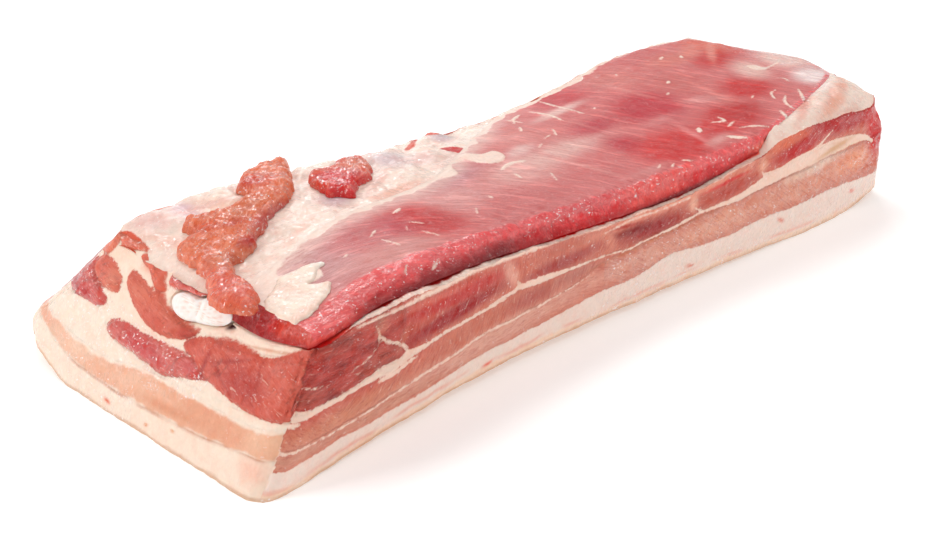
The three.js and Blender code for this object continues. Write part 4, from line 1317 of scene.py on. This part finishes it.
def build_flap():
    sx = np.linspace(0, 1, FLAP_STEPS_X + 1)
    t = np.linspace(0, 1, FLAP_STEPS_Y + 1)
    x = lerp(-156.2, 184.6, sx)[:, None] + 0 * t[None]
    sunk = smooth((x[:, :1] - 92) / 6)
    y = lerp(flap_front(x[:, :1]) - 1.3 * sunk, flap_back(x[:, :1]) + 0.4, t[None])
    xf, yf = x.ravel(), y.ravel()
    z = flap_top(xf, yf)
    top = stack(xf, yf, z)
    flat = top * [1, 1, 0]
    fibre = flap_fibre(top)
    from_front = yf - flap_front(xf)
    slope = flap_back(xf + 0.5) - flap_back(xf - 0.5)
    from_back = (flap_back(xf) - yf) / np.hypot(1, slope)
    calm = smooth(np.where(xf > 92, np.minimum(from_back, from_front), from_back) / 5) * bare(xf, yf)
    top[:, 2] += calm * (0.45 * fbm(flat, 15, 2, 31) + 0.16 * fbm(fibre * [0.15, 1, 0], 2.4, 2, 35))
    open_front = 1 - smooth((xf - 92) / 6)
    top[:, 2] += 0.06 - 1.5 * open_front * (1 - clamp01(from_front / 3.5)) ** 2
    top[:, 2] += open_front * bare(xf, yf) * (1 - smooth(from_front / 9)) * (0.9 * fbm(flat, 4.5, 3, 37)
            - 0.2)

    # the wall: the grid's edge, let down to the bed
    nx, ny = FLAP_STEPS_X + 1, FLAP_STEPS_Y + 1
    ids = np.arange(nx * ny).reshape(nx, ny)
    loop = np.concatenate([ids[:-1, 0], ids[-1, :-1], ids[:0:-1, -1], ids[0, :0:-1]])
    edge = top[loop]
    tx = np.roll(edge[:, 0], -2) - np.roll(edge[:, 0], 2)
    ty = np.roll(edge[:, 1], -2) - np.roll(edge[:, 1], 2)
    out = np.stack([ty, -tx], 1) / np.hypot(tx, ty)[:, None]
    n_loop = len(loop)
    side = np.concatenate([np.zeros(nx - 1), np.ones(ny - 1), np.full(nx - 1, 2), np.full(ny - 1, 3)])
    rows = []
    in_hollow = (side == 2) | ((side == 0) & (edge[:, 0] > 95))
    ends_in = smooth((183 - edge[:, 0]) / 10) * smooth((edge[:, 0] + 156) / 8)
    for r in range(FLAP_ROWS):
        w = r / (FLAP_ROWS - 1)
        undercut = np.where(side == 0, -FLAP_FLARE(edge[:, 0]) * w**1.3, 0.0)
        lip = np.where(side == 0, 1.4, 0.5)
        undercut = np.where(in_hollow, ends_in * (lip if r == 0 else lip + 0.2 + 1.25 * w), undercut)
        px, py = edge[:, 0] - out[:, 0] * undercut, edge[:, 1] - out[:, 1] * undercut
        floor = bed(px, py) + 0.12 + crevice_lift(px, py)
        p = np.stack([px, py, lerp(edge[:, 2] - 0.03, floor, w)], 1)
        bulge = np.where((side == 0) & ~in_hollow, 1, 0) * math.sin(math.pi * min(w, 0.9))
        facets = 1.3 * fbm(p * [1, 1, 0.3], 4.2, 3, 41) * bulge
        p[:, :2] += out * facets[:, None]
        end = (side == 3)
        torn = 1.4 * fbm(p[end], 5, 3, 43) * math.sin(math.pi * w)
        p[end, 0] = near_end(p[end, 2]) + 0.35 + torn
        rows.append(p)
    top[ids[0], 0] = near_end(top[ids[0], 2]) + 0.35
    wall = np.vstack(rows)
    inner_x, inner_y = np.meshgrid(np.linspace(-150, 178, 48), np.linspace(0.1, 0.9, 12), indexing="ij")
    inner_y = lerp(flap_front(inner_x), flap_back(inner_x), inner_y)
    ix, iy = inner_x.ravel(), inner_y.ravel()
    inner = stack(ix, iy, bed(ix, iy) + 0.12 + crevice_lift(ix, iy))
    last = rows[-1]
    flat_last = [Vector(q) for q in np.vstack([last[:, :2], inner[:, :2]]).tolist()]
    cut = delaunay_2d_cdt(flat_last, [], [list(range(n_loop))], 1, 1e-7)
    origin = [o[0] if o else -1 for o in cut[3]]
    if min(origin) < 0:
        raise ValueError("the top muscle's lower edge crosses itself")

    points = np.vstack([top, wall, inner])
    faces = []
    a = ids[:-1, :-1].ravel(); b = ids[1:, :-1].ravel(); c = ids[1:, 1:].ravel(); d = ids[:-1, 1:].ravel()
    faces += np.stack([a, b, c, d], 1).tolist()
    k = np.arange(n_loop)
    following = (k + 1) % n_loop
    upper = loop
    n_top = len(top)
    for r in range(FLAP_ROWS):
        lower = n_top + r * n_loop + k
        faces += np.stack([upper[k], lower, lower[following], upper[following]], 1).tolist()
        upper = lower
    base = np.vstack([last, inner])
    index = np.concatenate([upper, n_top + len(wall) + np.arange(len(inner))])
    tris = [[origin[v] for v in f] for f in cut[2]]
    faces += [[int(index[v]) for v in f[::-1]] for f in facing_up(base, tris)]

    skin = Skin(len(points))
    q = top_chart(points)
    skin.fibre = flap_fibre(points)
    px, py = points[:, 0], points[:, 1]
    slope = flap_back(px + 0.5) - flap_back(px - 0.5)
    from_back = (flap_back(px) - py) / np.hypot(1, slope)
    skin.lean = np.minimum(from_back - 2.0 + 2.5 * fbm(points * [1, 1, 0], 9, 3, 73), 6)
    skin.lean_col = patch_colours(q, top_colour(217, 132, 130), FLAP_PATCHES, top_colour)
    veil = (1 - smooth((from_back - 1) / 11)) * smooth((60 - px) / 60) * 0.8
    skin.lean_col = lerp(skin.lean_col, top_colour(240, 206, 196)[None], veil[:, None])
    skin.fat_col = np.tile(top_colour(248, 222, 208), (len(points), 1))
    flecks = np.full(len(points), -6.0)
    for line, half in FLECKS:
        distance, along = line_distance(q, line)
        flecks = np.maximum(flecks, 0.62 * half * np.sqrt(np.maximum(1 - (2 * along - 1) ** 2, 0)) - distance)
    for outline in FLAP_FAT:
        flecks = np.maximum(flecks, inside_by(q, outline))
    flecks[n_top:n_top + len(wall)][np.tile(side == 3, FLAP_ROWS)] = -6
    skin.lean = np.minimum(skin.lean, -flecks)
    points[:n_top, 2] += 0.35 * smooth((flecks[:n_top] + 0.4) / 0.9) * smooth(from_back[:n_top] / 3)
    band = FLAP_BAND(px) * (1 + 0.35 * fbm(points * [1, 1, 0], 7, 2, 71))
    strip = np.zeros(len(points))
    strip[n_top:n_top + len(wall)] = 1
    front = np.maximum(strip, 1 - smooth((py - flap_front(px) - band + 0.8) / 1.6))
    low = np.zeros(len(points))
    low[n_top:n_top + len(wall)] = np.repeat(np.arange(FLAP_ROWS) / (FLAP_ROWS - 1), n_loop)
    chart = np.stack(from_side(px, py, points[:, 2]), 1)
    # Painted light: the rim is a lighter, lit copy of the wall's red with painted highlight added to it, and
    # the wall below it is a darker, shaded copy.
    wall_red_and_shade = patch_colours(chart, seen(196, 52, 58), FLAP_FRONT_TINTS_AND_SHADE, seen)
    rim_red_with_highlight = patch_colours(chart, top_colour(220, 84, 78), FLAP_RIM_PATCHES, top_colour)
    rim_red_with_highlight = np.minimum(rim_red_with_highlight * [1.3, 1.15, 1.15] + [0.06, 0.095, 0.1], 0.93)
    wall_red_and_shade = np.minimum(wall_red_and_shade * 1.15 + [0.03, 0.025, 0.03], 0.93)
    red = lerp(rim_red_with_highlight, wall_red_and_shade, smooth((low - 0.12) / 0.3)[:, None])
    ends = np.zeros(len(points), bool)
    ends[n_top:n_top + len(wall)] = np.tile(side == 3, FLAP_ROWS)
    end_red = lerp(end_colour(206, 40, 36)[None], end_colour(226, 84, 70)[None],
                   smooth((-52 - py) / 6)[:, None])
    red = np.where(ends[:, None], end_red, red)
    # Painted shade at the foot of the front wall, in the crevice where it meets the ledge.
    foot_shade = smooth((low - 0.5) / 0.45) * (px < 100)
    red = red * (1 - foot_shade[:, None] * [0.3, 0.75, 0.7])
    skin.lean_col = lerp(skin.lean_col, red, front[:, None])
    skin.rough = lerp(0.25, 0.9, front)
    skin.wet = lerp(0.28 + 0.5 * smooth((px - 150) / 25), 1.3 - 0.9 * smooth((low - 0.3) / 0.4), front)
    make_piece("flap_top_muscle", points, faces, skin, TOP_MEAT, "top_muscle", "silverskin_meat")


# ---------------------------------------------------------------- pieces lying on top


def lying_piece(name, node, slot_name, rise, lip, shoulder, ragged, rough, paint):
    """A flat piece of meat or skin with the outline LYING gives it, thin at its border."""
    outline = LYING[node]
    closed = np.vstack([outline, outline[:1]])
    run = np.concatenate([[0], np.cumsum(np.hypot(*np.diff(closed, axis=0).T))])
    count = int(run[-1] / 0.6)
    at = np.linspace(0, run[-1], count + 1)[:-1]
    edge = np.stack([np.interp(at, run, closed[:, 0]), np.interp(at, run, closed[:, 1])], 1)
    along = np.roll(edge, -2, 0) - np.roll(edge, 2, 0)
    along /= np.hypot(*along.T)[:, None]
    normal = np.stack([along[:, 1], -along[:, 0]], 1)
    flat = stack(edge[:, 0], edge[:, 1], 0 * at)
    edge = edge + normal * (ragged * fbm(flat, 5, 3, 51))[:, None]
    gx, gy = np.meshgrid(np.arange(edge[:, 0].min(), edge[:, 0].max(), 0.7),
                         np.arange(edge[:, 1].min(), edge[:, 1].max(), 0.7), indexing="ij")
    gy = gy + (np.arange(len(gx)) % 2)[:, None] * 0.35
    grid = np.stack([gx.ravel(), gy.ravel()], 1)
    depth = inside_by(grid, edge)
    grid, depth = grid[depth > 0.45], depth[depth > 0.45]
    flat = stack(grid[:, 0], grid[:, 1], 0 * depth)
    high = lip + rise * np.sqrt(1 - (1 - clamp01(depth / shoulder)) ** 2)
    high += rough * smooth(depth / 2.5) * (0.9 * fbm(flat, 11, 2, 61) + 0.6
                                           * fbm(flat * [1, 0.6, 1], 4.5, 2, 63)
                                           + 1.0 * np.abs(fbm(flat * [1, 1.3, 1], 3.0, 3, 65)) - 0.3)
    high = np.maximum(high, lip * 0.6)
    ground = slab_top(grid[:, 0], grid[:, 1]) + 0.1
    edge_ground = slab_top(edge[:, 0], edge[:, 1]) + 0.1
    n_edge, n_grid = len(edge), len(grid)
    points = np.vstack([
        stack(edge[:, 0], edge[:, 1], edge_ground), stack(edge[:, 0], edge[:, 1], edge_ground + lip),
        stack(grid[:, 0], grid[:, 1], ground + high), stack(grid[:, 0], grid[:, 1], ground),
    ])
    cut = delaunay_2d_cdt([Vector(v) for v in np.vstack([edge, grid]).tolist()], [], [list(range(n_edge))],
                          1, 1e-7)
    origin = [o[0] if o else -1 for o in cut[3]]
    if min(origin) < 0:
        raise ValueError(name + ": its edge crosses itself")
    upper = np.concatenate([n_edge + np.arange(n_edge), 2 * n_edge + np.arange(n_grid)])
    lower = np.concatenate([np.arange(n_edge), 2 * n_edge + n_grid + np.arange(n_grid)])
    base = np.vstack([points[:n_edge], points[2 * n_edge:2 * n_edge + n_grid]])
    faces = []
    for f in facing_up(base, [[origin[v] for v in face] for face in cut[2]]):
        faces.append([int(upper[v]) for v in f])
        faces.append([int(lower[v]) for v in f[::-1]])
    winding = np.sum(edge[:, 0] * np.roll(edge[:, 1], -1) - np.roll(edge[:, 0], -1) * edge[:, 1])
    for k in range(n_edge):
        kn = (k + 1) % n_edge
        quad = [k, kn, n_edge + kn, n_edge + k]
        faces.append(quad if winding > 0 else quad[::-1])
    skin = Skin(len(points))
    paint(points, skin)
    make_piece(name, points, faces, skin, RIB_MEAT if slot_name == "rib_meat" else SOFT_FAT, node, slot_name)


RIB_PATCHES = [
    ((-86, 8), (16, 6), 25, (214, 112, 110), 1.0), ((-106, -3), (6, 5), 20, (212, 84, 74), 0.9),
    ((-111, 18), (8, 4), 0, (232, 108, 82), 0.7), ((-134, -26), (11, 20), -14, (246, 124, 106), 0.9),
    ((-120, -8), (12, 6), 0, (232, 138, 112), 0.8), ((-72, 38), (8, 6), 0, (222, 92, 62), 0.8),
    ((-100, 14), (6, 3), 0, (214, 84, 70), 0.6), ((-90, 20), (14, 5), 20, (232, 142, 112), 0.7),
]


def paint_rib(p, skin):
    skin.lean[:] = 6
    skin.lean_col[:] = patch_colours(top_chart(p), top_colour(248, 142, 110), RIB_PATCHES, top_colour)
    skin.fat_col[:] = top_colour(250, 204, 178)
    d = np.array([0.85, 0.5])
    skin.fibre = np.stack([p[:, 0] * d[0] + p[:, 1] * d[1], -p[:, 0] * d[1] + p[:, 1] * d[0], p[:, 2]], 1)
    skin.rough[:] = 1.5
    skin.wet[:] = 1.0 + 0.6 * fbm(p, 9, 2, 67)


def paint_scrap(p, skin):
    paint_rib(p, skin)
    skin.lean_col[:] = patch_colours(top_chart(p), top_colour(232, 70, 58), [
        ((-34, 25), (8, 9), 0, (240, 146, 122), 1.0), ((-58, 22), (5, 8), 0, (236, 110, 92), 0.8),
        ((-50, 30), (10, 4), 0, (238, 128, 108), 0.8),
    ], top_colour)


def paint_membrane(p, skin):
    skin.lean[:] = -6
    tints = [((-132, -52), (6, 4), 0, (246, 208, 190), 0.8), ((-150, -60), (9, 2), 10, (244, 202, 184), 0.8),
             ((-126, -40), (3, 3), 0, (255, 244, 234), 0.9), ((-146, -44), (4, 8), 20, (248, 212, 196), 0.7)]
    skin.fat_col[:] = patch_colours(p, top_colour(253, 228, 212), tints, top_colour)
    skin.fibre = p.copy()
    skin.rough[:] = 0.25
    skin.wet[:] = 0.8


def build_cartilage():
    outline = CARTILAGE
    middle = np.array([-19.0, 42.6])
    n = len(outline)
    rings = [1.0, 0.97, 0.9, 0.8, 0.68, 0.55, 0.42, 0.3, 0.18, 0.08]
    points = []
    for depth in (2.3, 1.2, 0.2):
        q = middle + (outline - middle) * 0.985
        points.append(np.stack([near_end(q[:, 1]) + depth, q[:, 0], q[:, 1]], 1))
    for s in rings:
        q = middle + (outline - middle) * 0.985 * s
        notch = bell((q[:, 0] + 17.5 + 0.2 * (q[:, 1] - 42)) / 0.9)
        dome = 0.9 * (1 - s**5) - 0.8 * notch * (1 - 0.3 * s)
        points.append(np.stack([near_end(q[:, 1]) - dome, q[:, 0], q[:, 1]], 1))
    middle_front = np.array([[near_end(42.6) - 0.6, middle[0], middle[1]]])
    middle_back = np.array([[near_end(42.6) + 2.3, middle[0], middle[1]]])
    all_points = np.vstack(points + [middle_front, middle_back])
    faces = []
    k = np.arange(n)
    kn = (k + 1) % n
    for r in range(len(points) - 1):
        a, b = r * n, (r + 1) * n
        faces += np.stack([a + k, b + k, b + kn, a + kn], 1).tolist()
    last = (len(points) - 1) * n
    front_id, back_id = len(all_points) - 2, len(all_points) - 1
    faces += [[last + int(i), front_id, last + int(j)] for i, j in zip(k, kn)]
    faces += [[int(j), back_id, int(i)] for i, j in zip(k, kn)]
    skin = Skin(len(all_points))
    lines = [((y, 42.5), (0.4, 3.2), turn, (238, 190, 168), 0.7)
             for y, turn in ((-8, 14), (-11, 10), (-14, 4), (-17.5, 0), (-21, -3), (-24, -8), (-27, -12),
                             (-30, -18))]
    skin.fat_col = patch_colours(all_points[:, 1:], end_colour(255, 250, 244), lines, end_colour)
    skin.fibre = all_points.copy()
    skin.rough[:] = 0.1
    skin.wet[:] = 0.3
    make_piece("end_cartilage", all_points, faces, skin, SOFT_FAT, "cartilage", "cartilage")


build_layers()
build_flap()
lying_piece("top_rib_muscle", "rib_muscle", "rib_meat", 4.2, 0.9, 4.5, 1.6, 1.0, paint_rib)
lying_piece("top_muscle_scrap", "muscle_scrap", "rib_meat", 3.0, 0.7, 3.5, 1.4, 0.9, paint_scrap)
lying_piece("top_membrane", "membrane", "membrane_fat", 0.9, 0.35, 4.0, 0.8, 0.35, paint_membrane)
build_cartilage()


# ---------------------------------------------------------------- floor, light and camera


def stage_floor():
    size = 6.0
    mesh = bpy.data.meshes.new("floor")
    mesh.from_pydata([(-size, -size, 0), (size, -size, 0), (size, size, 0), (-size, size, 0)], [],
                     [(0, 1, 2, 3)])
    s = Nodes("floor_white")
    shader = s.make("ShaderNodeBsdfPrincipled", {
        "Base Color": (0.94, 0.94, 0.94, 1), "Roughness": 0.6, "Emission Color": (1.0, 0.97, 0.93, 1),
        "Emission Strength": 0.22,
    })
    out = s.make("ShaderNodeOutputMaterial")
    s.tree.links.new(shader.outputs[0], out.inputs["Surface"])
    mesh.materials.append(s.material)
    floor = bpy.data.objects.new("floor", mesh)
    bpy.context.scene.collection.objects.link(floor)


def area_light(name, position, target, size, power, colour=(1, 1, 1)):
    data = bpy.data.lights.new(name, "AREA")
    data.shape = "SQUARE"
    data.size = size
    data.energy = power
    data.color = colour
    lamp = bpy.data.objects.new(name, data)
    lamp.location = Vector(position)
    lamp.rotation_euler = (Vector(target) - Vector(position)).to_track_quat("-Z", "Y").to_euler()
    bpy.context.scene.collection.objects.link(lamp)
    return lamp


stage_floor()
area_light("key", (-0.95, 0.5, 0.95), (-0.05, 0, 0.02), 0.42, 5.5)
area_light("top", (0.55, 0.5, 0.95), (0, 0, 0.02), 0.35, 3)
for n, position in enumerate(((0.75, -0.8, 0.45), (-0.8, 0.55, 0.35), (0.5, 0.85, 0.42), (-0.35, -0.5, 1.1),
                              (0.2, -1.1, 0.75))):
    area_light(f"window_{n + 1}", position, (0, 0, 0.03), 0.14, 1.3)
world = bpy.data.worlds.new("studio")
world.use_nodes = True
world.node_tree.nodes["Background"].inputs[0].default_value = (1.0, 1.0, 1.0, 1)
world.node_tree.nodes["Background"].inputs[1].default_value = 0.56
bpy.context.scene.world = world
bpy.context.scene.view_settings.view_transform = "Standard"

CAMERA_AT = Vector((-456.62, -443.57, 306.57)) * MM
CAMERA_BACK = Vector((-0.6336, -0.6350, 0.4420))
CAMERA_RIGHT = Vector((0.708, -0.706, 0.0)).normalized()
camera_data = bpy.data.cameras.new("camera")
camera_data.sensor_width = 36
camera_data.lens = 1700 / 943 * 36
camera_data.clip_start = 0.01
camera = bpy.data.objects.new("camera", camera_data)
up = CAMERA_BACK.cross(CAMERA_RIGHT).normalized()
back = CAMERA_RIGHT.cross(up).normalized()
turn = Matrix((CAMERA_RIGHT, up, back)).transposed()
camera.matrix_world = Matrix.Translation(CAMERA_AT) @ turn.to_4x4()
bpy.context.scene.collection.objects.link(camera)
bpy.context.scene.camera = camera
